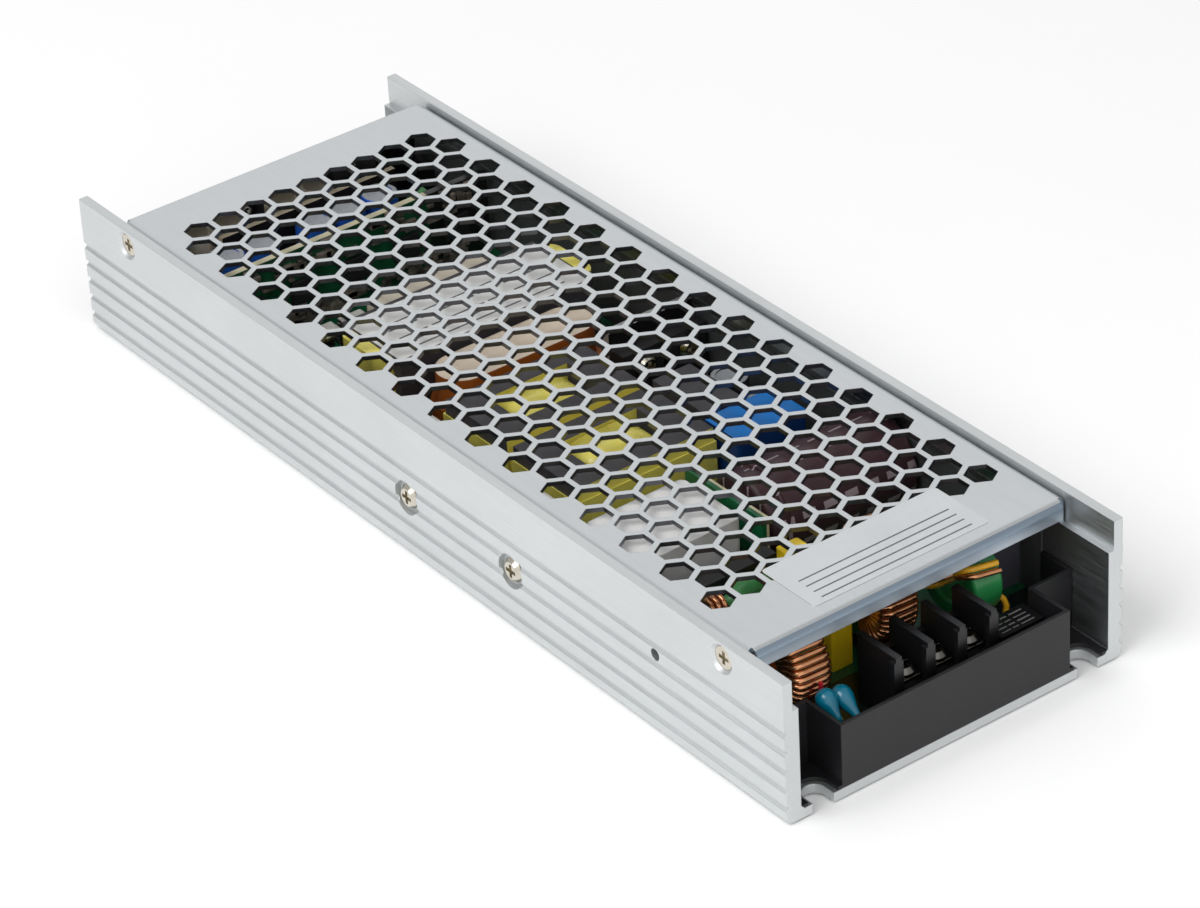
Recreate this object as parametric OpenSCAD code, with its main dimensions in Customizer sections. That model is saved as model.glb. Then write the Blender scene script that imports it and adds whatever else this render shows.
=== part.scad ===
// Slim enclosed switching power supply: grooved channel case, perforated lid, circuit board and its parts.
// Origin at the middle of the underside. Y runs from the input end (-Y) to the output end (+Y).

/* [Case] */
// Overall length of the case
case_l = 232; // [228:1:260]
// Overall width of the case
case_w = 81; // [80:0.5:90]
// Overall height of the case walls
case_h = 31; // [31:0.5:38]
// Thickness of the case floor
floor_t = 2; // [1.6:0.1:2.4]
// Thickness of the walls above the lid ledge
wall_t = 2.1; // [1.8:0.1:2.4]
// Thickness of the walls below the lid ledge
wall_low_t = 3.4; // [3.2:0.1:3.8]
// Depth of the lid ledge below the wall tops
ledge_drop = 6.5; // [5.5:0.1:7.5]
// Radius of the long bottom edges
edge_r = 1.5; // [0.5:0.1:2]
// Leg of the chamfer between floor and walls
foot = 0.8; // [0.4:0.1:1.2]

/* [Wall grooves] */
// Grooves along each wall
groove_n = 5; // [2:1:5]
// Distance between grooves
groove_pitch = 4.1; // [3.6:0.1:4.2]
// Height of the top groove
groove_top_z = 19.9; // [19.6:0.1:21]
// Width of a groove
groove_w = 1.4; // [0.8:0.1:1.6]
// Depth of a groove
groove_d = 0.6; // [0.3:0.1:0.7]

/* [Mounting] */
// Width of the mounting notches in the floor
notch_w = 5; // [4.2:0.1:5.4]
// Depth of the mounting notches from the end
notch_l = 5; // [4.2:0.1:6]
// Distance from a notch's middle to the inside of the wall
notch_from_wall = 5.1; // [4.6:0.1:5.6]
// Bore of the side mounting holes, for M3 screws
mount_d = 2.5; // [2:0.1:2.6]
// Side mounting holes, distance from the input end
mount_from_end = 37.5; // [30:0.5:50]
// Height of the side mounting holes
mount_z = 17.85; // [17.7:0.05:18]

/* [Lid] */
// Sheet thickness of the lid
lid_t = 1; // [0.8:0.1:1.2]
// Depth of the lid below the wall tops
lid_drop = 0.8; // [0.4:0.1:1.2]
// Distance of the lid from each end of the case
lid_setback = 12; // [11:0.5:14]
// Gap between lid and walls
lid_fit = 0.3; // [0.2:0.05:0.5]
// Outer radius of the lid folds
bend_r = 1.6; // [1.3:0.1:2]
// Height of the folded end lips
lip_h = 4; // [3:0.1:4.6]
// Lid screws, distance from each end
lid_screw_from_end = 17.6; // [16:0.2:22]

/* [Perforation] */
// Hole size across flats
hex_af = 5.8; // [4.5:0.1:6]
// Web between holes
hex_web = 1.2; // [1:0.1:2]
// Least distance from hole centre to lid side
hex_margin_x = 6; // [5.5:0.1:8]
// Least distance from hole centre to lid end
hex_margin_y = 15; // [12:0.5:20]
// Shift of the hole field towards the output end
hex_shift_y = 1.4; // [0:0.1:2]

/* [Screws] */
// Thread diameter of the case screws
screw_d = 3; // [2.6:0.1:3.2]
// Head diameter of the case screws
head_d = 5; // [4.8:0.1:5.4]
// Depth of the lid screw heads below the wall face
head_sink = 0.6; // [0.3:0.1:0.8]
// Head diameter of the clamp screws
clamp_head_d = 5.2; // [4.6:0.1:5.6]
// Spot face around the clamp screws
spot_d = 7.4; // [6.6:0.1:8]
// Depth of the spot face
spot_depth = 1.6; // [1.2:0.1:1.8]
// Width of a cross recess arm
cross_w = 0.8; // [0.6:0.1:1]
// Clearance around screws and in seats
fit = 0.1; // [0.05:0.05:0.15]

/* [Circuit board] */
// Thickness of the main board
board_t = 1.6; // [1.2:0.1:1.6]
// Height of the board above the floor
board_gap = 3; // [2.6:0.1:3.2]
// Diameter of the board posts
post_d = 6; // [5:0.2:6.4]
// Board screw head diameter
board_head_d = 5.4; // [5:0.1:6]
// Board screw head height
board_head_h = 2; // [1.5:0.1:2.4]
// Thickness of the insulating liner
liner_t = 0.4; // [0.3:0.05:0.5]
// Distance from the liner's top edge to the lid ledge
liner_drop = 1.5; // [1:0.1:18]

/* [End housings] */
// Width of the housing front
housing_w = 55; // [54:0.5:56]
// Wall thickness of the housings
housing_t = 0.8; // [0.6:0.1:1.2]
// Floor thickness of the housings
housing_floor_t = 0.8; // [0.6:0.1:1]
// Depth of the corner pockets
pocket_l = 10; // [9.5:0.1:10.4]
// Length of a housing along the case
housing_l = 18; // [15:0.5:19]
// Height of a housing above the case floor
housing_h = 14; // [12:0.5:15]
// Height of the output housing's inner walls above the case floor
output_wall_h = 19; // [15:0.5:20]
// Margin of the housing floor around a notch
notch_margin = 1; // [0.6:0.1:1.2]

/* [Terminals] */
// Ways of the input terminal block
input_ways = 3; // [2:1:3]
// Ways of the output terminal block
output_ways = 4; // [2:1:4]
// Distance between input ways
input_pitch = 7.6; // [7.2:0.1:7.8]
// Distance between output ways
output_pitch = 9.5; // [9:0.1:10]
// Thickness of the barrier fins
fin_t = 1.4; // [1.2:0.1:1.6]
// Width of the post at the front of a fin
fin_post_w = 2.2; // [1.8:0.1:2.4]
// Length of a terminal block
term_l = 11; // [10:0.1:11.2]
// Height of a terminal base
term_base_h = 7; // [6:0.1:7.6]
// Height of the barrier fins above the board
term_fin_h = 15.4; // [14:0.1:17]
// Gap between housing front and terminal block
term_gap = 2; // [1.4:0.1:2.4]
// Thickness of the contact plates
contact_t = 0.8; // [0.6:0.1:1]
// Thickness of the clamp washers
washer_t = 0.9; // [0.6:0.1:1.2]
// Diameter of a terminal screw head
term_head_d = 5; // [4.6:0.1:5.2]

/* [Line filter] */
// Gap between the chokes and the lid
choke_clear = 1.6; // [1.2:0.1:4]
// Bore of the choke cores
choke_bore_d = 8.8; // [8.2:0.1:9.6]
// Width of the choke cores
choke_core_w = 6.8; // [6:0.1:7.6]
// Rounding of the coated core edges
core_round = 0.8; // [0.3:0.1:1.2]
// Gap between a choke's base and its windings
choke_base_gap = 0.6; // [0.3:0.1:1.5]
// Wire diameter of the choke windings
choke_wire = 1.4; // [1:0.05:1.5]
// Turns seen on one winding
choke_turns = 14; // [6:1:15]
// Arc that one winding covers, in degrees
choke_arc = 132; // [110:1:146]
// Gap between the filter choke and the lid
filter_clear = 3; // [2:0.1:6]
// Width of the filter choke core
filter_core_w = 7; // [6:0.1:8]
// Turns of the filter choke
filter_turns = 5; // [3:1:5]
// Arc that the filter choke's winding covers, in degrees
filter_arc = 90; // [60:1:150]
// Thickness of the box capacitor
box_cap_w = 5.2; // [4:0.1:5.8]
// Length of the box capacitor
box_cap_l = 16; // [13:0.5:17.5]
// Gap between the box capacitor and the lid
box_cap_clear = 2.6; // [1.5:0.1:8]
// Diameter of the disc capacitors
disc_cap_d = 6.4; // [5.6:0.1:7]
// Thickness of the disc capacitors
disc_cap_t = 3.4; // [2.8:0.1:3.8]
// Length of a disc capacitor's tail, from the middle of the disc
disc_tail = 5; // [4.2:0.1:5.6]
// Slope of the tail, in degrees
disc_tilt = 40; // [30:1:50]
// Width of the fuse block
fuse_w = 10.4; // [9:0.1:11.4]
// Depth of the fuse block
fuse_l = 6; // [5:0.1:6.6]
// Height of the fuse block
fuse_h = 6.4; // [5:0.1:8]
// Width of the insulating card
guard_w = 7.4; // [6:0.1:8.4]
// Thickness of the insulating card
guard_t = 0.8; // [0.5:0.1:1.2]
// Width of the bridge rectifier
bridge_w = 19; // [17:0.5:21]
// Thickness of the bridge rectifier
bridge_t = 4; // [3.4:0.1:4.6]
// Height of the bridge rectifier
bridge_h = 17; // [14:0.5:19]

/* [Storage section] */
// Gap between the bulk capacitor and the lid
bulk_clear = 2.4; // [1.5:0.1:5]
// Length of the bulk capacitor
bulk_l = 36; // [32:0.5:40]
// Length of the relay case across the case
relay_w = 23.5; // [21:0.5:26]
// Width of the relay case
relay_l = 18; // [15:0.5:20]
// Gap between the relay case and the lid
relay_clear = 1.8; // [1.2:0.1:6]
// Length of the film capacitor
film_w = 17; // [14:0.5:18.5]
// Thickness of the film capacitor
film_l = 11; // [9:0.5:12]
// Height of the film capacitor
film_h = 18.4; // [15:0.2:20.4]
// Gap between the upright boards and the lid
card_clear = 3.2; // [2:0.1:6]
// Length of the control card
card_l = 23.5; // [21:0.5:26]
// Width of the auxiliary transformer
aux_w = 9.4; // [8.4:0.1:10.4]
// Length of the auxiliary transformer
aux_l = 17; // [15:0.5:18.5]
// Height of the auxiliary transformer
aux_h = 17.4; // [15:0.2:19]
// Diameter of the auxiliary capacitors
aux_cap_d = 8; // [7:0.1:8.8]
// Height of the auxiliary capacitors
aux_cap_h = 13; // [11:0.5:16]

/* [Power switches] */
// Width of a power package
package_w = 10; // [9:0.1:10.8]
// Thickness of a power package
package_t = 4.6; // [4:0.1:5]
// Height of a power package
package_h = 15; // [13:0.1:16.4]
// First clamp screw, distance from the input end
clamp_from_end = 82.6; // [80:0.2:86]
// Distance between the two clamp screws
clamp_span = 34; // [30:0.5:38]
// Height of the clamp screws
clamp_z = 13.3; // [12:0.1:15]
// Thickness of the clips on the wall packages
clip_t = 1.5; // [1.2:0.1:1.8]
// Depth of the fold at the top of a clip
clip_fold = 3; // [2.4:0.1:3.6]
// Height of a clip above its package
clip_rise = 3; // [2:0.1:4]
// Width of the switch heat sink
sink_w = 21.2; // [20:0.1:23]
// Thickness of the switch heat sink
sink_t = 2; // [1.6:0.1:2.4]
// Height of the switch heat sink
sink_h = 18.4; // [17:0.2:20.2]
// Distance between the two switches
switch_pitch = 11; // [10.4:0.1:12]
// Height of the screws of the packages above the board
package_screw_h = 11.6; // [9:0.1:12]

/* [Inductors and transformer] */
// Width of a boost inductor
inductor_w = 33; // [30:0.5:36]
// Length of a boost inductor
inductor_l = 20.4; // [18.4:0.1:22.4]
// Gap between a boost inductor and the lid
inductor_clear = 3.2; // [2:0.1:6]
// End plate thickness of the inductor core
inductor_plate = 5; // [4:0.1:5.2]
// Height of the core above and below the barrel winding together
barrel_clear = 2; // [1.2:0.1:4]
// Bare height of the core below the yellow tape
tape_foot = 2; // [1:0.1:4]
// Bare height of the core above the yellow tape
tape_head = 3; // [2:0.1:5]
// Thickness of the yellow tape
tape_t = 0.3; // [0.2:0.05:0.4]
// Length of the resonant inductor
resonant_w = 37; // [33:0.5:40]
// Width of the resonant inductor
resonant_l = 11; // [9:0.1:12]
// Build of the winding around the resonant inductor
resonant_build = 1.2; // [1:0.1:1.4]
// Height of the resonant inductor
resonant_h = 18.4; // [16:0.2:20.2]
// Width of the transformer core
trafo_w = 48; // [44:0.5:50]
// Length of the transformer core
trafo_l = 20.4; // [18.4:0.1:22.4]
// Gap between the transformer core and the lid
trafo_clear = 2.6; // [1.8:0.1:6]
// Thickness of the core plates above and below the winding
trafo_plate = 3.4; // [3:0.1:3.8]
// Thickness of the outer core legs
trafo_leg = 2.4; // [2:0.1:2.6]
// Length of the middle core leg
trafo_post_l = 5; // [4.4:0.1:5.6]
// Overhang of the winding at each end of the core
trafo_overhang = 3; // [2:0.1:3.4]
// Width of the bobbin rail behind the core
bobbin_w = 28; // [24:0.5:32]
// Thickness of the bobbin rail
bobbin_t = 2.8; // [2.4:0.1:3.2]

/* [Output section] */
// Diameter of the sleeved capacitors
sleeve_d = 8; // [7:0.1:8.2]
// Height of the sleeved capacitors
sleeve_h = 18; // [15:0.5:19]
// Diameter of the can capacitors
can_d = 8; // [7:0.1:8.2]
// Height of the can capacitors
can_h = 18; // [15:0.5:19]
// Distance between the output capacitors of a pair
output_cap_pitch = 8.4; // [8.3:0.1:9]
// Distance from one pair of output capacitors to the next
output_pair_pitch = 22; // [19:0.5:23]
// Width of the output busbar
busbar_w = 44; // [38:0.5:50]
// Thickness of the output busbar
busbar_t = 1.4; // [1:0.1:1.6]
// Height of the output busbar
busbar_h = 18.5; // [15:0.5:19]
// Width of a rectifier chip
chip_w = 5.2; // [4.6:0.1:6]
// Length of a rectifier chip
chip_l = 6; // [5:0.1:6.6]
// Thickness of a rectifier chip
chip_t = 1.1; // [0.8:0.1:1.4]
// Distance between the rectifier chips across the case
chip_pitch = 9; // [7:0.1:11]
// Distance between the chips on the upright rectifier board
card_chip_pitch = 13; // [9:0.1:15]
// Height of those chips above the main board
card_chip_z = 7; // [4:0.1:10]

/* [Hidden] */
$fn = 48;

cut = 1;
half_l = case_l / 2;
half_w = case_w / 2;
bay_half_w = half_w - wall_low_t;
bay_top_half_w = half_w - wall_t;
groove_r = (groove_w * groove_w / 4 + groove_d * groove_d) / (2 * groove_d);
notch_x = bay_half_w - notch_from_wall;

ledge_z = case_h - ledge_drop;
lid_top = case_h - lid_drop;
lid_half_w = bay_top_half_w - lid_fit;
lid_half_l = half_l - lid_setback;
lid_screw_z = (ledge_z + lid_top) / 2;
lid_screw_y = half_l - lid_screw_from_end;
lid_lap = 0.5;
hex_pitch = hex_af + hex_web;
hex_col_pitch = hex_pitch * cos(30);
hex_rows = floor((2 * lid_half_w - 2 * hex_margin_x) / hex_pitch) + 1;
hex_cols = floor((2 * lid_half_l - 2 * hex_margin_y) / hex_col_pitch) + 1;

csk_h = (head_d - screw_d) / 2;
lid_screw_l = wall_t + lid_fit + lid_t + 1.5 - head_sink;

board_z = floor_t + board_gap;
board_top = board_z + board_t;
pocket_y = half_l - pocket_l;
wing_in_y = pocket_y - housing_t;
housing_in_x = bay_half_w - fit - housing_t;
board_half_w = housing_in_x - 3 * fit;
board_half_l = wing_in_y - 3 * fit;
tongue_half_w = housing_w / 2 - housing_t - 3 * fit;
tongue_half_l = half_l - housing_t - 3 * fit;
head_room = lid_top - lid_t - board_top;

term_front = half_l - housing_t - term_gap;
term_screw_y = 3.6;
part_gap = 1.2;
wide_gap = 2;
second_row = 13.2;

choke_r = (head_room - choke_clear - 2 * fit) / 2;
choke_core_d = 2 * (choke_r - fit - choke_wire);
choke_half_w = choke_core_w / 2 + fit + choke_wire;
choke_base_l = choke_core_d * cos(choke_arc / 2) - 2 * choke_base_gap;
choke_z = board_top + 2 * fit + choke_r;
left_choke = [choke_half_w + 8.1 - board_half_w, -wing_in_y + part_gap + choke_r, choke_z];
right_choke = [2.7, -wing_in_y + 6.8 + choke_r, choke_z];
filter_r = (head_room - filter_clear - 2 * fit) / 2;
filter_core_d = 2 * (filter_r - fit - choke_wire);
filter_half_w = filter_core_w / 2 + fit + choke_wire;
filter_z = board_top + 2 * fit + filter_r;
filter_choke = [board_half_w - 11.1 - filter_half_w, -wing_in_y + part_gap + filter_r, filter_z];
box_cap = [-7.2, -wing_in_y + second_row + box_cap_l / 2];
box_cap_h = head_room - box_cap_clear;
disc_cap_y = -wing_in_y - part_gap - 1.2;
disc_caps = [[2.7 - tongue_half_w, 9.6], [6.9 - tongue_half_w, 7.9]];
fuse = [tongue_half_w - 0.9 - fuse_w / 2, -half_l + housing_t + 7.2];
guard = [board_half_w - guard_w / 2, -wing_in_y + second_row];
card_h = head_room - card_clear;
filter_end = max(right_choke[1] + choke_r + 3 * part_gap, box_cap[1] + box_cap_l / 2 + wide_gap);
bridge = [8.9 + bridge_w / 2 - board_half_w, filter_end + bridge_t / 2];

storage_y = bridge[1] + bridge_t / 2 + 3.45 + card_l / 2;
storage_gap = (2 * board_half_w - relay_w - board_t - bulk_l) / 3;
relay_place = [storage_gap + relay_w / 2 - board_half_w, storage_y - part_gap];
relay_h = head_room - relay_clear;
control_card_x = relay_place[0] + relay_w / 2 + storage_gap + board_t / 2;
bulk_d = head_room - bulk_clear - 2 * fit;
bulk_x0 = board_half_w - bulk_l;
bulk_y = storage_y + part_gap;

package_seat = bay_half_w - liner_t - 2 * fit;
clamp_ys = [clamp_from_end + clamp_span - half_l, clamp_from_end - half_l];
clamp_screw_l = wall_low_t - spot_depth + liner_t + 2 * fit + package_t + clip_t;
clip_edge = package_seat - package_t - clip_fold;

inductor_h = head_room - inductor_clear;
barrel_d = inductor_h - barrel_clear;
taped_w = inductor_w + 2 * tape_t + 2 * fit;
inductor_ys = [
    storage_y + card_l / 2 + 7.85 + inductor_l / 2,
    storage_y + card_l / 2 + 7.85 + inductor_l * 1.5 + wide_gap
];
power_gap = (clip_edge + board_half_w - taped_w - aux_w - aux_cap_d) / 4;
inductor_x = power_gap + taped_w / 2 - clip_edge;
film_place = [inductor_x + taped_w / 2 + part_gap + film_w / 2, bulk_y + bulk_d / 2 + 2.5 + film_l / 2];
film_end = film_place[1] + film_l / 2;
aux_place = [inductor_x + taped_w / 2 + power_gap + aux_w / 2, film_end + wide_gap + aux_l / 2];
aux_cap_x = board_half_w - power_gap - aux_cap_d / 2;
aux_cap_ys = [film_end + wide_gap + aux_cap_d / 2, film_end + 2 * wide_gap + aux_cap_d * 1.5];

sink_y = inductor_ys[1] + inductor_l / 2 + 0.4;
sink_x = board_half_w - sink_w / 2;
switch_xs = [sink_x - switch_pitch / 2, sink_x + switch_pitch / 2];
switch_z = board_top + package_screw_h;

resonant_x = -1.2;
resonant_y = sink_y + sink_t / 2 + part_gap + resonant_build + resonant_l / 2;
trafo_h = head_room - trafo_clear;
trafo_y = resonant_y + resonant_l / 2 + resonant_build + 0.5 + trafo_l / 2;
bobbin_y = trafo_y + trafo_l / 2 + fit + bobbin_t / 2;
bobbin_h = trafo_h - 2;

can_y = term_front - term_l - 1 - can_d / 2;
busbar_y = can_y - can_d / 2 - 1 - busbar_t / 2;
sleeve_y = busbar_y - busbar_t / 2 - part_gap - sleeve_d / 2;
rectifier_y = sleeve_y - sleeve_d / 2 - 4.4 - board_t / 2;
can_x0 = 11.3 - board_half_w;
can_xs = [for (pair = [0, 1], i = [0, 1]) can_x0 + pair * output_pair_pitch + i * output_cap_pitch];
sleeve_xs = concat(can_xs, can_xs[3] + output_cap_pitch);
chip_row = chip_l + wide_gap;
chip_y0 = rectifier_y - board_t / 2 - 6.2 - chip_l / 2;
chip_rows = floor((chip_y0 + chip_l / 2 - bobbin_y - bobbin_t / 2) / chip_row);

post_x = board_half_w - post_d / 2 - 1;
post_1_y = bridge[1] - post_d / 2 - 1;
post_2_y = (clamp_ys[0] + clamp_ys[1]) / 2;
post_3_y = sink_y - package_t - board_head_d;
post_4_y = sleeve_y + 2.6;
posts = [
    [-post_x, post_1_y], [post_x, post_1_y], [-post_x, post_2_y], [post_x, post_3_y],
    [-post_x, resonant_y], [post_x, resonant_y], [-post_x, post_4_y], [post_x, post_4_y]
];

// Lays an outline drawn in X and Z along the Y axis, centred
module along_y(length) {
    translate([0, length / 2, 0]) rotate([90, 0, 0]) linear_extrude(length) children();
}

// Moves children to a side wall: local Z points out of the wall, zero at its outer face
module at_wall(side, y, z) {
    translate([side * half_w, y, z]) rotate([0, side * 90, 0]) children();
}

// Turns children so that their Z axis lies along X
module across() {
    rotate([0, 90, 0]) children();
}

// Puts children at the input end (-1) or, turned round, at the output end (1)
module at_end(side) {
    rotate([0, 0, side > 0 ? 180 : 0]) children();
}

// Block standing on the main board, centred on x and y
module on_board(x, y, w, l, h) {
    translate([x - w / 2, y - l / 2, board_top]) cube([w, l, h]);
}

// Rectangle with round corners, exact arcs
module rounded_rect(w, h, r) {
    square([w - 2 * r, h], center = true);
    square([w, h - 2 * r], center = true);
    for (x = [-1, 1], y = [-1, 1]) translate([x * (w / 2 - r), y * (h / 2 - r)]) circle(r);
}

// Long shape with full round ends
module stadium(w, l) {
    square([w - l, l], center = true);
    for (x = [-1, 1]) translate([x * (w - l) / 2, 0]) circle(d = l);
}

// Free space inside the channel, drawn in X and Z, pulled in by an inset
module bay_outline(inset, top) {
    corner = foot + (sqrt(2) - 1) * inset;
    polygon([
        [bay_half_w - inset, top], [bay_half_w - inset, floor_t + corner],
        [bay_half_w - corner, floor_t + inset], [corner - bay_half_w, floor_t + inset],
        [inset - bay_half_w, floor_t + corner], [inset - bay_half_w, top]
    ]);
}

// Cross recess, cut downwards from zero
module cross_recess(size, depth) {
    for (a = [0, 90]) rotate(a)
        translate([-size / 2, -cross_w / 2, -depth]) cube([size, cross_w, depth + cut]);
}

// Countersunk screw, head face at zero, pointing down
module flat_screw(length) {
    difference() {
        union() {
            translate([0, 0, -csk_h]) cylinder(d1 = screw_d - 2 * fit, d2 = head_d - 2 * fit, h = csk_h);
            translate([0, 0, -length]) cylinder(d = screw_d - 2 * fit, h = length);
        }
        cross_recess(head_d * 0.56, csk_h * 0.7);
    }
}

// Hole for a countersunk screw, opening at zero
module flat_screw_hole(depth) {
    mouth_d = head_d + 2 * head_sink;
    translate([0, 0, -csk_h - head_sink]) cylinder(d1 = screw_d, d2 = mouth_d, h = csk_h + head_sink);
    cylinder(d = mouth_d, h = cut);
    translate([0, 0, -depth]) cylinder(d = screw_d, h = depth);
}

// Pan head screw, underside of the head at zero, pointing down
module pan_screw(d, length, pan_d, pan_h) {
    difference() {
        union() {
            translate([0, 0, pan_h * 0.45]) cylinder(d1 = pan_d, d2 = pan_d * 0.72, h = pan_h * 0.55);
            cylinder(d = pan_d, h = pan_h * 0.45);
            translate([0, 0, -length]) cylinder(d = d, h = length);
        }
        translate([0, 0, pan_h]) cross_recess(pan_d * 0.56, pan_h * 0.6);
    }
}

// Floor notch that opens at an end, drawn in X and Y from the end face at zero
module notch_outline(w, l) {
    translate([0, l - w / 2]) circle(d = w);
    translate([-w / 2, -cut]) square([w, l - w / 2 + cut]);
}

// All four corner notches
module notches(w, l, h) {
    for (side = [-1, 1], x = [-1, 1])
        at_end(side) translate([x * notch_x, -half_l, -cut])
            linear_extrude(h + cut) notch_outline(w, l);
}

module chassis_profile() {
    difference() {
        union() {
            translate([-half_w, edge_r]) square([case_w, case_h - edge_r]);
            translate([edge_r - half_w, 0]) square([case_w - 2 * edge_r, edge_r]);
            for (side = [-1, 1]) translate([side * (half_w - edge_r), edge_r]) circle(edge_r);
        }
        bay_outline(0, ledge_z);
        translate([-bay_top_half_w, ledge_z]) square([2 * bay_top_half_w, case_h]);
        for (side = [-1, 1], i = [0:groove_n - 1])
            translate([side * (half_w + groove_r - groove_d), groove_top_z - i * groove_pitch])
                circle(groove_r);
    }
}

module chassis() color([0.87, 0.88, 0.88]) {
    difference() {
        along_y(case_l) chassis_profile();
        notches(notch_w, notch_l, floor_t + cut);
        for (side = [-1, 1], end = [-1, 1])
            at_wall(side, end * lid_screw_y, lid_screw_z) flat_screw_hole(wall_t + cut);
        for (side = [-1, 1])
            at_wall(side, mount_from_end - half_l, mount_z)
                translate([0, 0, -wall_low_t - cut]) cylinder(d = mount_d, h = wall_low_t + 2 * cut);
        for (y = clamp_ys) at_wall(-1, y, clamp_z) {
            translate([0, 0, -spot_depth]) cylinder(d = spot_d, h = spot_depth + cut);
            translate([0, 0, -wall_low_t - cut]) cylinder(d = screw_d, h = wall_low_t + cut);
        }
    }
}

module hex_field() {
    for (i = [0:hex_cols - 1]) {
        holes = i % 2 == 0 ? hex_rows : hex_rows - 1;
        y = hex_shift_y + (i - (hex_cols - 1) / 2) * hex_col_pitch;
        for (j = [0:holes - 1])
            translate([(j - (holes - 1) / 2) * hex_pitch, y]) rotate(90)
                circle(r = hex_af / sqrt(3), $fn = 6);
    }
}

// Folded edge of the lid: lap on the plate, quarter bend and straight leg, drawn from the bend's middle
module fold_outline(leg) {
    intersection() {
        difference() {
            circle(bend_r);
            circle(bend_r - lid_t);
        }
        square(bend_r);
    }
    translate([bend_r - lid_t, bend_r - leg]) square([lid_t, leg - bend_r]);
    translate([-lid_lap, bend_r - lid_t]) square([lid_lap, lid_t]);
}

module lid() color([0.77, 0.79, 0.8]) {
    flat_half_w = lid_half_w - bend_r;
    flat_half_l = lid_half_l - bend_r;
    difference() {
        union() {
            translate([0, 0, lid_top - lid_t]) linear_extrude(lid_t) difference() {
                square([2 * flat_half_w, 2 * flat_half_l], center = true);
                hex_field();
            }
            for (side = [0, 1]) mirror([side, 0, 0]) along_y(2 * flat_half_l)
                translate([flat_half_w, lid_top - bend_r]) fold_outline(lid_top - ledge_z);
            for (a = [90, -90]) rotate(a) along_y(2 * flat_half_w)
                translate([flat_half_l, lid_top - bend_r]) fold_outline(lip_h);
        }
        for (side = [-1, 1], end = [-1, 1])
            at_wall(side, end * lid_screw_y, lid_screw_z)
                translate([0, 0, -wall_t - lid_fit - lid_t - cut]) cylinder(d = screw_d, h = lid_t + 2 * cut);
    }
}

module lid_screws() color([0.85, 0.83, 0.78]) {
    for (side = [-1, 1], end = [-1, 1])
        at_wall(side, end * lid_screw_y, lid_screw_z) translate([0, 0, -head_sink]) flat_screw(lid_screw_l);
}

module clamp_screws() color([0.85, 0.83, 0.78]) {
    for (y = clamp_ys) at_wall(-1, y, clamp_z) translate([0, 0, -spot_depth])
        pan_screw(screw_d - 2 * fit, clamp_screw_l, clamp_head_d, spot_depth - fit);
}

module liner() color([0.12, 0.12, 0.14]) {
    liner_l = 2 * (half_l - housing_l) - 4 * fit;
    liner_top = ledge_z - liner_drop;
    difference() {
        along_y(liner_l) difference() {
            bay_outline(fit, liner_top);
            bay_outline(fit + liner_t, liner_top + cut);
        }
        for (p = posts) translate([p[0], p[1], 0]) cylinder(d = post_d + 4 * fit, h = board_z);
        for (side = [-1, 1]) at_wall(side, mount_from_end - half_l, mount_z)
            translate([0, 0, -wall_low_t - cut]) cylinder(d = mount_d + 2, h = wall_low_t);
        for (y = clamp_ys) at_wall(-1, y, clamp_z)
            translate([0, 0, -wall_low_t - cut]) cylinder(d = screw_d + 4 * fit, h = wall_low_t);
    }
}

module board_posts() color([0.78, 0.74, 0.62]) {
    for (p = posts) translate([p[0], p[1], floor_t]) difference() {
        cylinder(d = post_d, h = board_gap);
        translate([0, 0, 0.5]) cylinder(d = screw_d, h = board_gap);
    }
}

module main_board() color([0.05, 0.3, 0.17]) {
    translate([0, 0, board_z]) linear_extrude(board_t) difference() {
        union() {
            square([2 * board_half_w, 2 * board_half_l], center = true);
            square([2 * tongue_half_w, 2 * tongue_half_l], center = true);
        }
        for (p = posts) translate(p) circle(d = screw_d + 4 * fit);
    }
}

module board_screws() color([0.82, 0.82, 0.8]) {
    for (p = posts) translate([p[0], p[1], board_top])
        pan_screw(screw_d - 2 * fit, board_t + board_gap - 1, board_head_d, board_head_h);
}

// Moulded tray that lines one end of the case, drawn for the input end
module end_housing(side, wall_h) {
    shell_half_w = bay_half_w + cut;
    at_end(side) difference() {
        intersection() {
            along_y(case_l) bay_outline(fit, floor_t + max(housing_h, wall_h));
            translate([0, -half_l, floor_t]) {
                translate([-housing_w / 2, 0, 0]) cube([housing_w, housing_t, housing_h]);
                for (x = [-1, 1]) translate([x * (housing_w - housing_t) / 2 - housing_t / 2, 0, 0])
                    cube([housing_t, pocket_l + housing_t, wall_h]);
                for (x = [0, 1]) mirror([x, 0, 0]) {
                    translate([housing_w / 2 - housing_t, pocket_l, 0])
                        cube([shell_half_w - housing_w / 2 + housing_t, housing_t, wall_h]);
                    translate([housing_in_x, pocket_l, 0])
                        cube([shell_half_w - housing_in_x, housing_l - pocket_l, housing_h]);
                }
                translate([-shell_half_w, 0, 0]) cube([2 * shell_half_w, housing_l, housing_floor_t]);
            }
        }
        notches(notch_w + 2 * notch_margin, notch_l + notch_margin, floor_t + housing_floor_t + fit);
    }
}

module input_housing() color([0.2, 0.2, 0.22]) end_housing(-1, housing_h);

module output_housing() color([0.2, 0.2, 0.22]) end_housing(1, output_wall_h);

// Moves children to each way of a terminal block, at the screw axis on the board
module at_ways(side, ways, pitch) {
    at_end(side) for (i = [0:ways - 1])
        translate([(i - (ways - 1) / 2) * pitch, term_screw_y - term_front, board_top]) children();
}

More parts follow.
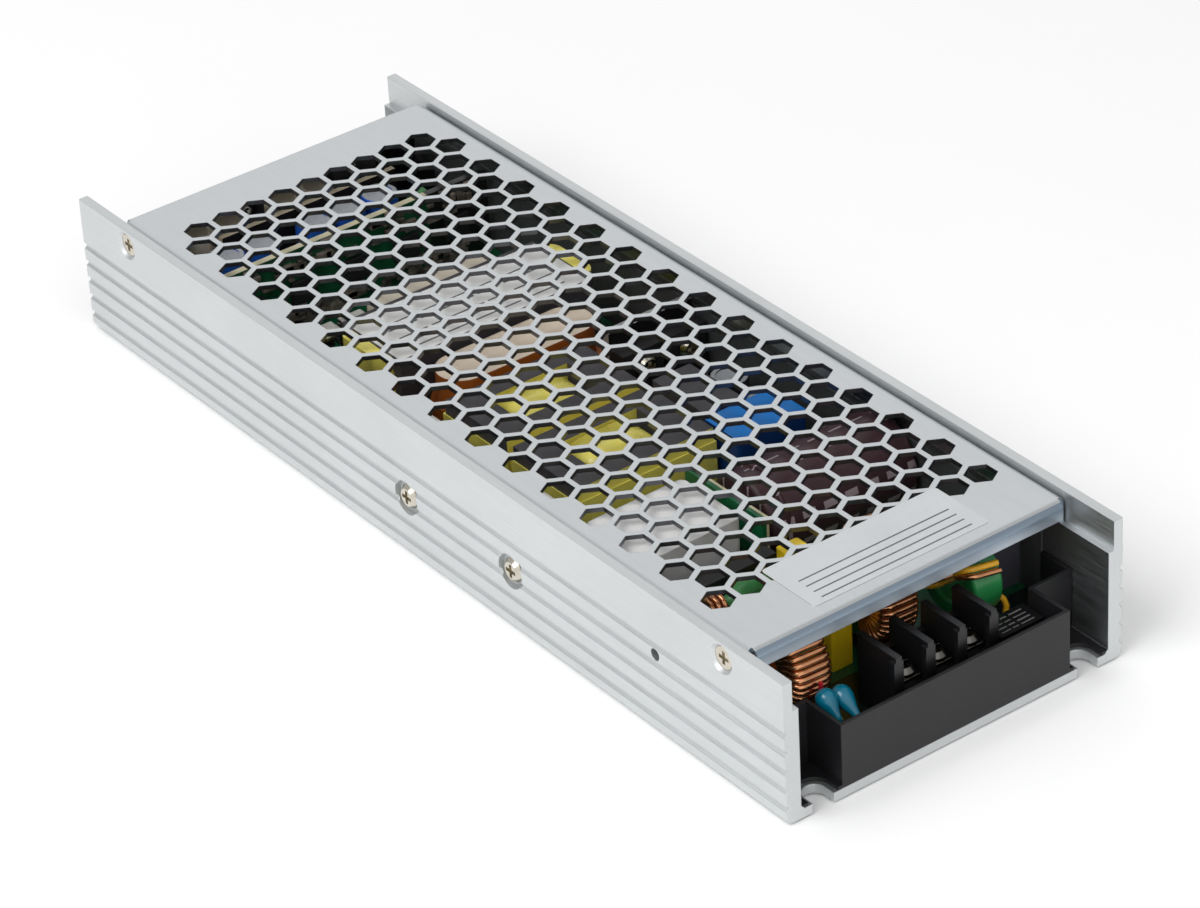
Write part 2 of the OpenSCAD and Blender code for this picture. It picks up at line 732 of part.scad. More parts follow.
module terminal_block(side, ways, pitch) {
    block_w = ways * pitch + fin_t;
    difference() {
        at_end(side) translate([0, -term_front, board_top]) {
            translate([-block_w / 2, 0, 0]) cube([block_w, term_l, term_base_h]);
            translate([-block_w / 2, term_l - fin_t, 0]) cube([block_w, fin_t, term_base_h + 3]);
            for (i = [0:ways]) translate([(i - ways / 2) * pitch, 0, 0]) {
                translate([-fin_t / 2, 0, 0]) cube([fin_t, term_l, term_fin_h]);
                translate([-fin_post_w / 2, 0, 0]) cube([fin_post_w, fin_t, term_fin_h - 1]);
            }
        }
        at_ways(side, ways, pitch) translate([0, 0, 1]) cylinder(d = screw_d + 2 * fit, h = term_base_h);
    }
}

module terminal_contacts(side, ways, pitch) {
    plate_w = pitch - fin_t - 6 * fit;
    at_ways(side, ways, pitch) translate([0, 0, term_base_h]) linear_extrude(contact_t) difference() {
        translate([0, 1]) square([plate_w, 6], center = true);
        circle(d = screw_d + 2 * fit);
    }
}

module terminal_washers(side, ways, pitch) {
    at_ways(side, ways, pitch) translate([0, 0, term_base_h + contact_t])
        linear_extrude(washer_t) difference() {
            rounded_rect(term_head_d + 0.3, term_head_d, 0.6);
            circle(d = screw_d + 2 * fit);
        }
}

module terminal_screws(side, ways, pitch) {
    at_ways(side, ways, pitch) translate([0, 0, term_base_h + contact_t + washer_t])
        pan_screw(screw_d - 2 * fit, term_base_h - 1, term_head_d, 1.8);
}

module input_terminal_block() color([0.16, 0.16, 0.17]) terminal_block(-1, input_ways, input_pitch);

module input_contacts() color([0.8, 0.78, 0.7]) terminal_contacts(-1, input_ways, input_pitch);

module input_washers() color([0.82, 0.82, 0.8]) terminal_washers(-1, input_ways, input_pitch);

module input_terminal_screws() color([0.85, 0.85, 0.83]) terminal_screws(-1, input_ways, input_pitch);

module output_terminal_block() color([0.16, 0.16, 0.17]) terminal_block(1, output_ways, output_pitch);

module output_contacts() color([0.8, 0.78, 0.7]) terminal_contacts(1, output_ways, output_pitch);

module output_washers() color([0.82, 0.82, 0.8]) terminal_washers(1, output_ways, output_pitch);

module output_terminal_screws() color([0.85, 0.85, 0.83]) terminal_screws(1, output_ways, output_pitch);

module line_fuse() color([0.14, 0.14, 0.15]) on_board(fuse[0], fuse[1], fuse_w, fuse_l, fuse_h);

// Dipped disc with a full round rim, axis along X, its tapered tail towards the front, and a leg near the tip
module disc_capacitor(height) {
    rim = disc_cap_t / 2;
    root_w = disc_cap_d * 0.9;
    tip_w = 1.8;
    leg_at = disc_tail - tip_w / 2;
    translate([0, 0, board_top + height]) {
        across() rotate_extrude() intersection() {
            union() {
                translate([0, -rim]) square([disc_cap_d / 2 - rim, disc_cap_t]);
                translate([disc_cap_d / 2 - rim, 0]) circle(rim);
            }
            translate([0, -rim]) square([disc_cap_d, disc_cap_t]);
        }
        rotate([90, 0, 90]) linear_extrude(rim, center = true) rotate(disc_tilt)
            polygon([[0, root_w / 2], [-disc_tail, tip_w / 2], [-disc_tail, -tip_w / 2], [0, -root_w / 2]]);
    }
    translate([0, -leg_at * cos(disc_tilt), board_top])
        cylinder(d = tip_w / 2, h = height - leg_at * sin(disc_tilt));
}

module disc_capacitors() color([0.08, 0.5, 0.66]) {
    for (c = disc_caps) translate([c[0], disc_cap_y, 0]) disc_capacitor(c[1]);
}

module box_capacitor() color([0.78, 0.66, 0.1]) {
    translate([box_cap[0], box_cap[1], board_top])
        linear_extrude(box_cap_h) rounded_rect(box_cap_w, box_cap_l, 0.6);
}

// Coated ring core standing on edge, axis along X
module ring_core(d, bore, w) {
    across() rotate_extrude() translate([(d + bore) / 4, 0]) rounded_rect((d - bore) / 2, w, core_round);
}

// Section of a winding around a ring core: radius along X, width along Y
module winding_section(d, bore, w, build) {
    inner_r = bore / 2 - fit;
    outer_r = d / 2 + fit;
    difference() {
        translate([(inner_r + outer_r) / 2, 0])
            rounded_rect(outer_r - inner_r + 2 * build, w + 2 * fit + 2 * build, build * 0.9);
        translate([inner_r, -w / 2 - fit]) square([outer_r - inner_r, w + 2 * fit]);
    }
}

// One winding over part of a ring core: a closed sleeve with a rib for each turn
module ring_winding(d, bore, w, wire, turns, arc) {
    step = arc / turns;
    across() {
        rotate(-arc / 2) rotate_extrude(angle = arc) winding_section(d, bore, w, wire * 0.7);
        for (i = [0:turns - 1]) rotate((i + 0.5) * step - arc / 2)
            rotate([90, 0, 0]) translate([0, 0, -wire * 0.35]) linear_extrude(wire * 0.7) intersection() {
                winding_section(d, bore, w, wire);
                translate([(d + bore) / 4, -w]) square([d, 2 * w]);
            }
    }
}

module choke_windings() {
    for (a = [0, 180]) rotate([90 + a, 0, 0])
        ring_winding(choke_core_d, choke_bore_d, choke_core_w, choke_wire, choke_turns, choke_arc);
}

module left_choke_core() color([0.15, 0.45, 0.25])
    translate(left_choke) ring_core(choke_core_d, choke_bore_d, choke_core_w);

module left_choke_windings() color([0.78, 0.48, 0.28]) translate(left_choke) choke_windings();

module right_choke_core() color([0.15, 0.45, 0.25])
    translate(right_choke) ring_core(choke_core_d, choke_bore_d, choke_core_w);

module right_choke_windings() color([0.78, 0.48, 0.28]) translate(right_choke) choke_windings();

module filter_choke_core() color([0.1, 0.5, 0.28])
    translate(filter_choke) ring_core(filter_core_d, choke_bore_d, filter_core_w);

// Spaced turns over the top of the filter choke, each a closed loop
module filter_choke_wire() color([0.85, 0.62, 0.12]) {
    step = filter_arc / (filter_turns - 1);
    turn_t = choke_wire * 0.7;
    translate(filter_choke) rotate([180, 0, 0]) across() for (i = [0:filter_turns - 1])
        rotate(i * step - filter_arc / 2) rotate([90, 0, 0]) translate([0, 0, -turn_t / 2])
            linear_extrude(turn_t) winding_section(filter_core_d, choke_bore_d, filter_core_w, choke_wire);
}

// Cradle between a standing ring core and the board
module choke_base(place, d, w) {
    difference() {
        on_board(place[0], place[1], w, choke_base_l, 2 * choke_wire);
        translate(place) across() cylinder(d = d + 2 * fit, h = w + cut, center = true);
    }
}

module choke_bases() color([0.14, 0.14, 0.15]) {
    choke_base(left_choke, choke_core_d, choke_core_w);
    choke_base(right_choke, choke_core_d, choke_core_w);
    choke_base(filter_choke, filter_core_d, filter_core_w);
}

module insulating_card() color([0.12, 0.12, 0.16]) on_board(guard[0], guard[1], guard_w, guard_t, card_h);

module bridge_rectifier() color([0.12, 0.12, 0.13])
    on_board(bridge[0], bridge[1], bridge_w, bridge_t, bridge_h);

module bulk_capacitor() color([0.27, 0.18, 0.2]) {
    lip = 1.2;
    translate([bulk_x0, bulk_y, board_top + 2 * fit + bulk_d / 2]) across() rotate_extrude() difference() {
        union() {
            square([bulk_d / 2 - lip, bulk_l]);
            translate([0, lip]) square([bulk_d / 2, bulk_l - 2 * lip]);
            for (h = [lip, bulk_l - lip]) translate([bulk_d / 2 - lip, h]) circle(lip);
        }
        translate([bulk_d / 2, 4]) circle(0.6);
        translate([0, bulk_l - 0.5]) square([bulk_d / 2 - 2 * lip, cut]);
        translate([-bulk_d, -cut]) square([bulk_d, bulk_l + 2 * cut]);
    }
}

module relay() color([0.82, 0.82, 0.82]) {
    translate([relay_place[0], relay_place[1], board_top])
        linear_extrude(relay_h) rounded_rect(relay_w, relay_l, 1.5);
}

module control_card() color([0.05, 0.38, 0.2])
    on_board(control_card_x, storage_y, board_t, card_l, card_h);

module film_capacitor() color([0.05, 0.45, 0.75]) {
    translate([film_place[0], film_place[1], board_top])
        linear_extrude(film_h) rounded_rect(film_w, film_l, 0.8);
}

// Small core with its two winding windows cut through
module auxiliary_transformer() color([0.32, 0.31, 0.33]) {
    leg = 2.4;
    yoke = 3.7;
    window_l = 3;
    window_y = aux_l / 2 - leg - window_l / 2;
    difference() {
        on_board(aux_place[0], aux_place[1], aux_w, aux_l, aux_h);
        for (y = [-1, 1]) translate([aux_place[0], aux_place[1] + y * window_y, board_top + aux_h / 2])
            cube([aux_w + cut, window_l, aux_h - 2 * yoke], center = true);
    }
}

// Standing capacitor with a rolled rim and a neck groove
module standing_capacitor(d, h) {
    rim = 0.6;
    rotate_extrude() difference() {
        union() {
            square([d / 2 - rim, h]);
            square([d / 2, h - rim]);
            translate([d / 2 - rim, h - rim]) circle(rim);
        }
        translate([d / 2 + 0.1, 1.6]) circle(0.5);
        translate([0, h - 0.3]) square([d / 2 - 2 * rim, cut]);
        translate([-d, 0]) square([d, h + cut]);
    }
}

module auxiliary_capacitors() color([0.2, 0.2, 0.24]) {
    for (y = aux_cap_ys) translate([aux_cap_x, y, board_top]) standing_capacitor(aux_cap_d, aux_cap_h);
}

// Moves children to the foot of each boost inductor
module at_inductors() {
    for (y = inductor_ys) translate([inductor_x, y, board_top]) children();
}

module boost_inductor_cores() color([0.27, 0.26, 0.28]) {
    window_l = inductor_l - 2 * inductor_plate;
    at_inductors() {
        difference() {
            translate([-inductor_w / 2, -inductor_l / 2, 0]) cube([inductor_w, inductor_l, inductor_h]);
            translate([-barrel_d / 2 - 1, -window_l / 2, -cut])
                cube([barrel_d + 2, window_l, inductor_h + 2 * cut]);
        }
        translate([0, 0, inductor_h / 2]) rotate([90, 0, 0])
            cylinder(d = barrel_d / 2, h = window_l + 1, center = true);
    }
}

module boost_inductor_windings() color([0.9, 0.85, 0.4]) {
    barrel_l = inductor_l - 2 * inductor_plate - 2 * fit;
    at_inductors() translate([0, 0, inductor_h / 2]) rotate([90, 0, 0]) difference() {
        cylinder(d = barrel_d, h = barrel_l, center = true);
        cylinder(d = barrel_d / 2 + 2 * fit, h = barrel_l + cut, center = true);
    }
}

module boost_inductor_tapes() color([0.75, 0.7, 0.2]) {
    tape_w = inductor_h - tape_foot - tape_head;
    at_inductors() translate([0, 0, tape_foot]) linear_extrude(tape_w) difference() {
        square([inductor_w + 2 * tape_t + 2 * fit, inductor_l + 2 * tape_t + 2 * fit], center = true);
        square([inductor_w + 2 * fit, inductor_l + 2 * fit], center = true);
    }
}

module wall_transistors() color([0.13, 0.13, 0.14]) {
    for (y = clamp_ys) difference() {
        translate([-package_seat, y - package_w / 2, board_top + 4 * fit])
            cube([package_t, package_w, package_h]);
        at_wall(-1, y, clamp_z) translate([0, 0, -half_w]) cylinder(d = screw_d + 2 * fit, h = half_w);
    }
}

module transistor_clips() color([0.75, 0.75, 0.73]) {
    clip_w = package_w + 2;
    clip_h = package_h + clip_rise;
    for (y = clamp_ys) difference() {
        translate([package_t - package_seat, y - clip_w / 2, board_top]) {
            cube([clip_t, clip_w, clip_h]);
            translate([0, 0, clip_h - clip_t]) cube([clip_fold, clip_w, clip_t]);
        }
        at_wall(-1, y, clamp_z) translate([0, 0, -half_w]) cylinder(d = screw_d, h = half_w);
    }
}

module switch_heatsink() color([0.16, 0.16, 0.17]) {
    difference() {
        on_board(sink_x, sink_y, sink_w, sink_t, sink_h);
        for (x = switch_xs) translate([x, sink_y, switch_z]) rotate([90, 0, 0])
            cylinder(d = screw_d, h = sink_t + cut, center = true);
    }
}

module switch_transistors() color([0.11, 0.11, 0.12]) {
    for (x = switch_xs) translate([0, -(sink_t + package_t) / 2, 0]) difference() {
        on_board(x, sink_y, package_w, package_t, package_h);
        translate([x, sink_y, switch_z]) rotate([90, 0, 0])
            cylinder(d = screw_d + 2 * fit, h = package_t + cut, center = true);
    }
}

module switch_screws() color([0.85, 0.85, 0.83]) {
    for (x = switch_xs) translate([x, sink_y - sink_t / 2 - package_t, switch_z]) rotate([90, 0, 0])
        pan_screw(screw_d - 2 * fit, package_t + sink_t, head_d, 2);
}

module resonant_inductor() color([0.8, 0.74, 0.66]) {
    translate([resonant_x, resonant_y, board_top]) linear_extrude(resonant_h) stadium(resonant_w, resonant_l);
}

module resonant_winding() color([0.55, 0.3, 0.12]) {
    translate([resonant_x, resonant_y, board_top]) linear_extrude(resonant_h * 0.62) difference() {
        stadium(resonant_w + 2 * resonant_build, resonant_l + 2 * resonant_build);
        stadium(resonant_w + 2 * fit, resonant_l + 2 * fit);
    }
}

module transformer_core() color([0.22, 0.19, 0.18]) {
    window_l = (trafo_l - 2 * trafo_leg - trafo_post_l) / 2;
    window_h = trafo_h - 2 * trafo_plate;
    difference() {
        on_board(0, trafo_y, trafo_w, trafo_l, trafo_h);
        for (y = [-1, 1]) translate([0, trafo_y + y * (trafo_post_l + window_l) / 2, board_top + trafo_h / 2])
            cube([trafo_w + cut, window_l, window_h], center = true);
        for (x = [-1, 1]) translate([x * trafo_w / 2, trafo_y, board_top + trafo_h / 2])
            cube([2 * trafo_overhang, trafo_l - 2 * trafo_leg, window_h], center = true);
    }
}

module transformer_winding() color([0.92, 0.88, 0.45]) {
    coil_w = trafo_w + 2 * trafo_overhang;
    coil_l = trafo_l - 2 * trafo_leg - 4 * fit;
    end_h = trafo_h - trafo_plate - 2 * fit;
    translate([0, trafo_y, board_top + trafo_plate + 2 * fit]) {
        linear_extrude(end_h - trafo_plate - 2 * fit) difference() {
            rounded_rect(coil_w, coil_l, 3);
            square([trafo_w - 2 * trafo_overhang + 4 * fit, trafo_post_l + 4 * fit], center = true);
        }
        linear_extrude(end_h) difference() {
            rounded_rect(coil_w, coil_l, 3);
            square([trafo_w + 2 * fit, trafo_l], center = true);
        }
    }
}

module transformer_bobbin() color([0.82, 0.78, 0.68]) on_board(0, bobbin_y, bobbin_w, bobbin_t, bobbin_h);

module rectifier_board() color([0.05, 0.36, 0.19])
    on_board(0, rectifier_y, 2 * board_half_w - 2, board_t, card_h);

module rectifier_chips() color([0.12, 0.12, 0.13]) {
    chip_y = rectifier_y - board_t / 2 - chip_t;
    for (i = [-2:2]) translate([i * card_chip_pitch - chip_l / 2, chip_y, board_top + card_chip_z])
        cube([chip_l, chip_t, chip_w]);
}

// Flat packages in rows behind the transformer, and two at each end of it
module board_rectifiers() color([0.12, 0.12, 0.13]) {
    for (i = [-2:2], row = [0:1:chip_rows - 1])
        on_board(i * chip_pitch, chip_y0 - row * chip_row, chip_w, chip_l, chip_t);
    side_x = board_half_w - 2.3 - chip_w / 2;
    for (x = [-1, 1], y = [-1, 1])
        on_board(x * side_x, trafo_y + y * (chip_l / 2 + part_gap), chip_w, chip_l, chip_t);
}

module sleeved_capacitors() color([0.1, 0.25, 0.6]) {
    for (x = sleeve_xs) translate([x, sleeve_y, board_top])
        standing_capacitor(sleeve_d, sleeve_h);
}

module can_capacitors() color([0.78, 0.76, 0.72]) {
    for (x = can_xs) translate([x, can_y, board_top])
        standing_capacitor(can_d, can_h);
}

module output_busbar() color([0.76, 0.72, 0.62]) on_board(0, busbar_y, busbar_w, busbar_t, busbar_h);

chassis();
lid();
lid_screws();
clamp_screws();
liner();
board_posts();
main_board();
board_screws();
input_housing();
output_housing();
input_terminal_block();
input_contacts();
input_washers();
input_terminal_screws();
output_terminal_block();
output_contacts();
output_washers();
output_terminal_screws();
line_fuse();
disc_capacitors();
box_capacitor();
left_choke_core();
left_choke_windings();
right_choke_core();
right_choke_windings();
filter_choke_core();
filter_choke_wire();
choke_bases();
insulating_card();
bridge_rectifier();
bulk_capacitor();
relay();
control_card();
film_capacitor();
auxiliary_transformer();
auxiliary_capacitors();
boost_inductor_cores();
boost_inductor_windings();
boost_inductor_tapes();
wall_transistors();
transistor_clips();
switch_heatsink();
switch_transistors();
switch_screws();
resonant_inductor();
resonant_winding();
transformer_core();
transformer_winding();
transformer_bobbin();
rectifier_board();
rectifier_chips();
board_rectifiers();
sleeved_capacitors();
can_capacitors();
output_busbar();
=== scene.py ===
import math
import random

import bmesh
import bpy
from mathutils import Euler, Matrix, Vector


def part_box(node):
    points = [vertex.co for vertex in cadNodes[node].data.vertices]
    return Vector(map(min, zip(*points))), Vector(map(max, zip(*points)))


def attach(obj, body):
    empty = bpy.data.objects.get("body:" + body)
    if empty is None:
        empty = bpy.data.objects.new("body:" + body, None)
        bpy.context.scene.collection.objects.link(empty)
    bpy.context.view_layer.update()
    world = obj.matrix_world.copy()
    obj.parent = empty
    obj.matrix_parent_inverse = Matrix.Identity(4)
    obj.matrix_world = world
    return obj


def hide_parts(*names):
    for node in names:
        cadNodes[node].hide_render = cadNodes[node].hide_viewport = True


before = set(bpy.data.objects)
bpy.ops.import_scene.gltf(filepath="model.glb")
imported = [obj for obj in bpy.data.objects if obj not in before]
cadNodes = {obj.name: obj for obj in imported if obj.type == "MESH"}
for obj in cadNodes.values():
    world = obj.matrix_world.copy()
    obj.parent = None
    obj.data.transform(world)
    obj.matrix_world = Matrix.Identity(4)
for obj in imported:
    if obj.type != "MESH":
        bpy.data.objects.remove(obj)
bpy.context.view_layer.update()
mm = 0.001
tiny = 1e-6  # lengths below this count as none, in metres
print("frame loaded:", len(cadNodes), "nodes")

# what a look has unless it says otherwise; bump depth is in metres, broken edges are in mm
plainLook = {"metal": 0.0, "rough": 0.45, "coat": 0.0, "coatRough": 0.15, "ior": 1.48, "vary": 0.12, "edge": 0.0,
             "stretch": (1, 1, 1), "grain": 2500, "grainDetail": 4, "cloud": 90, "cloudDetail": 5,
             "bump": 0.15, "depth": 0.00005, "roughVary": 0.15}
noiseSpan = (0.3, 0.7)  # most values of a noise texture lie in here


def tone(*screen):  # a screen colour, 0 to 255, in the linear values that shaders take
    return tuple(((c / 255 + 0.055) / 1.055) ** 2.4 if c > 10 else c / 255 / 12.92 for c in screen) + (1.0,)


def scaled(colour, factor):
    return tuple(min(1.0, c * factor) for c in colour[:3]) + (1.0,)


def feed(tree, socket, value):  # a socket takes either a link or a plain value
    if isinstance(value, bpy.types.NodeSocket):
        tree.links.new(value, socket)
    else:
        socket.default_value = value


def calc(tree, operation, *values):
    sums = tree.nodes.new("ShaderNodeMath")
    sums.operation = operation
    for socket, value in zip(sums.inputs, values):
        feed(tree, socket, value)
    return sums.outputs["Value"]


def ramp(tree, source, span, low, high):  # runs from low to high while the source crosses the span
    run = tree.nodes.new("ShaderNodeMapRange")
    for socket, value in (("From Min", span[0]), ("From Max", span[1]), ("To Min", low), ("To Max", high)):
        run.inputs[socket].default_value = value
    tree.links.new(source, run.inputs["Value"])
    return run.outputs["Result"]


def noise(tree, source, scale, detail):
    cells = tree.nodes.new("ShaderNodeTexNoise")
    cells.inputs["Scale"].default_value = scale
    cells.inputs["Detail"].default_value = detail
    tree.links.new(source, cells.inputs["Vector"])
    return cells.outputs["Fac"]


def mixColour(tree, amount, first, second):
    mix = tree.nodes.new("ShaderNodeMix")
    mix.data_type = "RGBA"
    tree.links.new(amount, mix.inputs["Factor"])
    feed(tree, mix.inputs["A"], first)
    feed(tree, mix.inputs["B"], second)
    return mix.outputs["Result"]


def axisPart(tree, source, axis):
    parts = tree.nodes.new("ShaderNodeSeparateXYZ")
    tree.links.new(source, parts.inputs["Vector"])
    return parts.outputs[axis]


def along(tree, coords, axis):
    return axisPart(tree, coords.outputs["Object"], axis)


# masks are 1 where they hold and 0 elsewhere
def facing(tree, axis, limit=0.6):  # faces that look along the axis, either way
    normal = tree.nodes.new("ShaderNodeNewGeometry").outputs["Normal"]
    return calc(tree, "GREATER_THAN", calc(tree, "ABSOLUTE", axisPart(tree, normal, axis)), limit)


def both(tree, first, second):
    return calc(tree, "MULTIPLY", first, second)


def outside(tree, mask):
    return calc(tree, "LESS_THAN", mask, 0.5)


def between(tree, coords, axis, low, high):  # between two places along the axis, given in mm
    place = along(tree, coords, axis)
    return both(tree, calc(tree, "GREATER_THAN", place, low * mm), calc(tree, "LESS_THAN", place, high * mm))


def surface(name, given, edgeColour=None, edgeAxis=None, layers=()):
    look = {**plainLook, **given}
    finish = bpy.data.materials.new(name)
    finish.use_nodes = True
    finish.diffuse_color = look["colour"]
    tree = finish.node_tree
    shader = tree.nodes["Principled BSDF"]
    for socket, key in (("Metallic", "metal"), ("Coat Weight", "coat"), ("Coat Roughness", "coatRough"),
                        ("IOR", "ior")):
        shader.inputs[socket].default_value = look[key]

    coords = tree.nodes.new("ShaderNodeTexCoord")  # fine grain and slow mottling, both on object coordinates
    place = tree.nodes.new("ShaderNodeMapping")
    place.inputs["Scale"].default_value = look["stretch"]
    tree.links.new(coords.outputs["Object"], place.inputs["Vector"])
    fine = noise(tree, place.outputs["Vector"], look["grain"], look["grainDetail"])
    cloud = noise(tree, coords.outputs["Object"], look["cloud"], look["cloudDetail"])

    base = mixColour(tree, ramp(tree, cloud, noiseSpan, 0.0, 1.0),
                     scaled(look["colour"], 1 - look["vary"]), scaled(look["colour"], 1 + look["vary"]))
    if edgeAxis:  # faces along this axis keep the colour, the rest take the edge colour
        base = mixColour(tree, facing(tree, edgeAxis), edgeColour, base)
    for mask, ink in layers:  # each mask lays its own colour over what is below it
        base = mixColour(tree, mask(tree, coords), base, ink)
    tree.links.new(base, shader.inputs["Base Color"])

    smooth, coarse = look["rough"] * (1 - look["roughVary"]), min(1.0, look["rough"] * (1 + look["roughVary"]))
    tree.links.new(ramp(tree, fine, noiseSpan, smooth, coarse), shader.inputs["Roughness"])
    bump = tree.nodes.new("ShaderNodeBump")
    bump.inputs["Strength"].default_value = look["bump"]
    bump.inputs["Distance"].default_value = look["depth"]
    tree.links.new(fine, bump.inputs["Height"])
    if look["edge"]:  # softly broken edges
        corner = tree.nodes.new("ShaderNodeBevel")
        corner.samples = 4
        corner.inputs["Radius"].default_value = look["edge"] * mm
        tree.links.new(corner.outputs["Normal"], bump.inputs["Normal"])
    tree.links.new(bump.outputs["Normal"], shader.inputs["Normal"])
    return finish


def dress(finish, *names):
    for name in names:
        cadNodes[name].data.materials.clear()
        cadNodes[name].data.materials.append(finish)


def keep(shape, name, finish, slot, *stands):  # a bmesh becomes a piece that rides on the case
    bmesh.ops.recalc_face_normals(shape, faces=shape.faces)
    mesh = bpy.data.meshes.new(name)
    shape.to_mesh(mesh)
    shape.free()
    mesh.materials.append(finish)
    piece = bpy.data.objects.new(name, mesh)
    bpy.context.scene.collection.objects.link(piece)
    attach(piece, "root")
    if stands:
        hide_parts(*stands)


# case, lid and screws
caseLook = {"colour": tone(211, 214, 215), "metal": 1.0, "rough": 0.46, "stretch": (1, 0.03, 1), "grain": 2600,
            "cloud": 40, "vary": 0.03, "bump": 0.25, "depth": 0.00003, "edge": 0.25}
# painted shade on the inner faces of the walls, where the lid keeps light off them
paintedWallShade = {"x": (-38, 38), "z": (3, 24.4), "facing": 0.8, "colour": tone(150, 152, 154)}
# lit and shaded copies of the lid sheet: lidLitTone on the faces that look up or sideways, the darker bluish colour
# of lidShadedLook as painted shade on the faces that look along Y
lidShadedLook = {"colour": tone(142, 156, 170), "metal": 1.0, "rough": 0.38, "stretch": (1, 0.06, 1), "grain": 1800,
           "cloud": 60, "vary": 0.04, "bump": 0.12, "depth": 0.00003, "edge": 0.2}
lidLitTone = tone(206, 210, 212)
# painted shade on the walls of the vent holes
paintedVentShade = {"x": (-35, 35), "y": (-96, 98), "facing": 0.5, "colour": tone(112, 113, 117)}
# painted highlight along the lower edge of the end lips
paintedLipHighlight = {"z": (26.2, 28.6), "clear": (-102, 102), "colour": tone(196, 205, 213)}
screwLook = {"colour": tone(206, 200, 186), "metal": 1.0, "rough": 0.2, "grain": 1500, "cloud": 300, "vary": 0.08,
             "bump": 0.1, "edge": 0.1}
tinLook = {"colour": tone(206, 204, 196), "metal": 1.0, "rough": 0.3, "grain": 900, "cloud": 200, "vary": 0.08,
           "bump": 0.1, "edge": 0.1}
nickelLook = {"colour": tone(104, 102, 98), "metal": 1.0, "rough": 0.16, "grain": 1500, "cloud": 300, "vary": 0.1,
              "bump": 0.08, "edge": 0.25}
brassLook = {"colour": tone(200, 170, 110), "metal": 1.0, "rough": 0.35, "grain": 900, "cloud": 200, "vary": 0.08}


def shadedInnerWalls(tree, coords):  # painted shade: darker inner faces of the walls, below the lid ledges
    inside = both(tree, between(tree, coords, "X", *paintedWallShade["x"]), between(tree, coords, "Z", *paintedWallShade["z"]))
    return both(tree, inside, facing(tree, "X", paintedWallShade["facing"]))


def shadedHoleWalls(tree, coords):  # painted shade on the punched walls of the vent holes, clear of the lid's flanges and lips
    inside = both(tree, between(tree, coords, "X", *paintedVentShade["x"]), between(tree, coords, "Y", *paintedVentShade["y"]))
    return both(tree, inside, outside(tree, facing(tree, "Z", paintedVentShade["facing"])))


def litLipFoot(tree, coords):  # painted highlight: the end lips grow paler towards their lower edge
    fade = ramp(tree, along(tree, coords, "Z"), [z * mm for z in paintedLipHighlight["z"]], 1.0, 0.0)
    return both(tree, fade, outside(tree, between(tree, coords, "Y", *paintedLipHighlight["clear"])))


dress(surface("satin extruded aluminium", caseLook, layers=((shadedInnerWalls, paintedWallShade["colour"]),)), "chassis")
# faces that look along Y keep the painted shade colour, the rest take the lit tone
dress(surface("satin lid sheet", lidShadedLook, edgeColour=lidLitTone, edgeAxis="Y",
              layers=((shadedHoleWalls, paintedVentShade["colour"]), (litLipFoot, paintedLipHighlight["colour"]))), "lid")
dress(surface("zinc plated screws", screwLook), "lid_screws", "clamp_screws", "board_screws", "switch_screws")
tinned = surface("tinned metal", tinLook)
dress(tinned, "transistor_clips")
dress(surface("nickel plated terminals", nickelLook), "input_contacts", "output_contacts", "input_washers",
      "output_washers", "input_terminal_screws", "output_terminal_screws")
dress(surface("turned brass", brassLook), "board_posts")
print("case dressed")

# black plastics
housingLook = {"colour": tone(21, 21, 24), "rough": 0.5, "grain": 5200, "cloud": 120, "vary": 0.08, "bump": 0.3,
               "depth": 0.00004, "edge": 0.25}
terminalLook = {"colour": tone(15, 15, 17), "rough": 0.34, "grain": 4800, "cloud": 150, "vary": 0.08, "bump": 0.25,
                "depth": 0.00004, "edge": 0.2}
packageLook = {"colour": tone(32, 32, 34), "rough": 0.55, "grain": 6000, "cloud": 200, "bump": 0.4, "edge": 0.15}
linerLook = {"colour": tone(72, 74, 74), "rough": 0.35, "grain": 900, "cloud": 100, "vary": 0.1, "bump": 0.08}
cardLook = {"colour": tone(86, 86, 95), "rough": 0.4, "grain": 900, "cloud": 100, "vary": 0.1, "bump": 0.08}
sinkLook = {"colour": tone(45, 45, 47), "metal": 0.7, "grain": 3000, "cloud": 100, "vary": 0.1, "edge": 0.15}
sinkEdge = tone(205, 205, 205)
dress(surface("moulded housing", housingLook), "input_housing", "output_housing")
dress(surface("moulded terminal", terminalLook), "input_terminal_block", "output_terminal_block", "choke_bases")
dress(surface("moulded package", packageLook), "bridge_rectifier", "wall_transistors", "switch_transistors",
      "rectifier_chips", "board_rectifiers")
dress(surface("insulating film", linerLook), "liner")
dress(surface("insulating card", cardLook), "insulating_card")
dress(surface("black anodised sink", sinkLook, edgeColour=sinkEdge, edgeAxis="Y"), "switch_heatsink")
print("plastics dressed")

# circuit boards: green mask on the broad faces, pale cut edges, painted shade at one end of two boards
boardLook = {"colour": tone(14, 84, 52), "rough": 0.32, "grain": 700, "cloud": 420, "vary": 0.3, "coat": 0.3}
cutEdge = tone(214, 206, 170)
# painted shade at the input end of the main board
boardEndShade = {"y": -94.5, "colour": tone(14, 26, 22)}
cardMask = {"share": 0.62, "colour": tone(12, 104, 62)}
# painted shade at the right end of the rectifier board
rectifierEndShade = {"x": 19.5, "colour": tone(26, 27, 26)}


def shadedBoardEnd(tree, coords):  # painted shade: the input end of the main board is darkened
    return calc(tree, "LESS_THAN", along(tree, coords, "Y"), boardEndShade["y"] * mm)


def maskedSide(tree, coords):  # the mask runs over most of the cut edge, a thin pale line stays
    low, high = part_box("control_card")
    return calc(tree, "LESS_THAN", along(tree, coords, "X"), low.x + cardMask["share"] * (high.x - low.x))


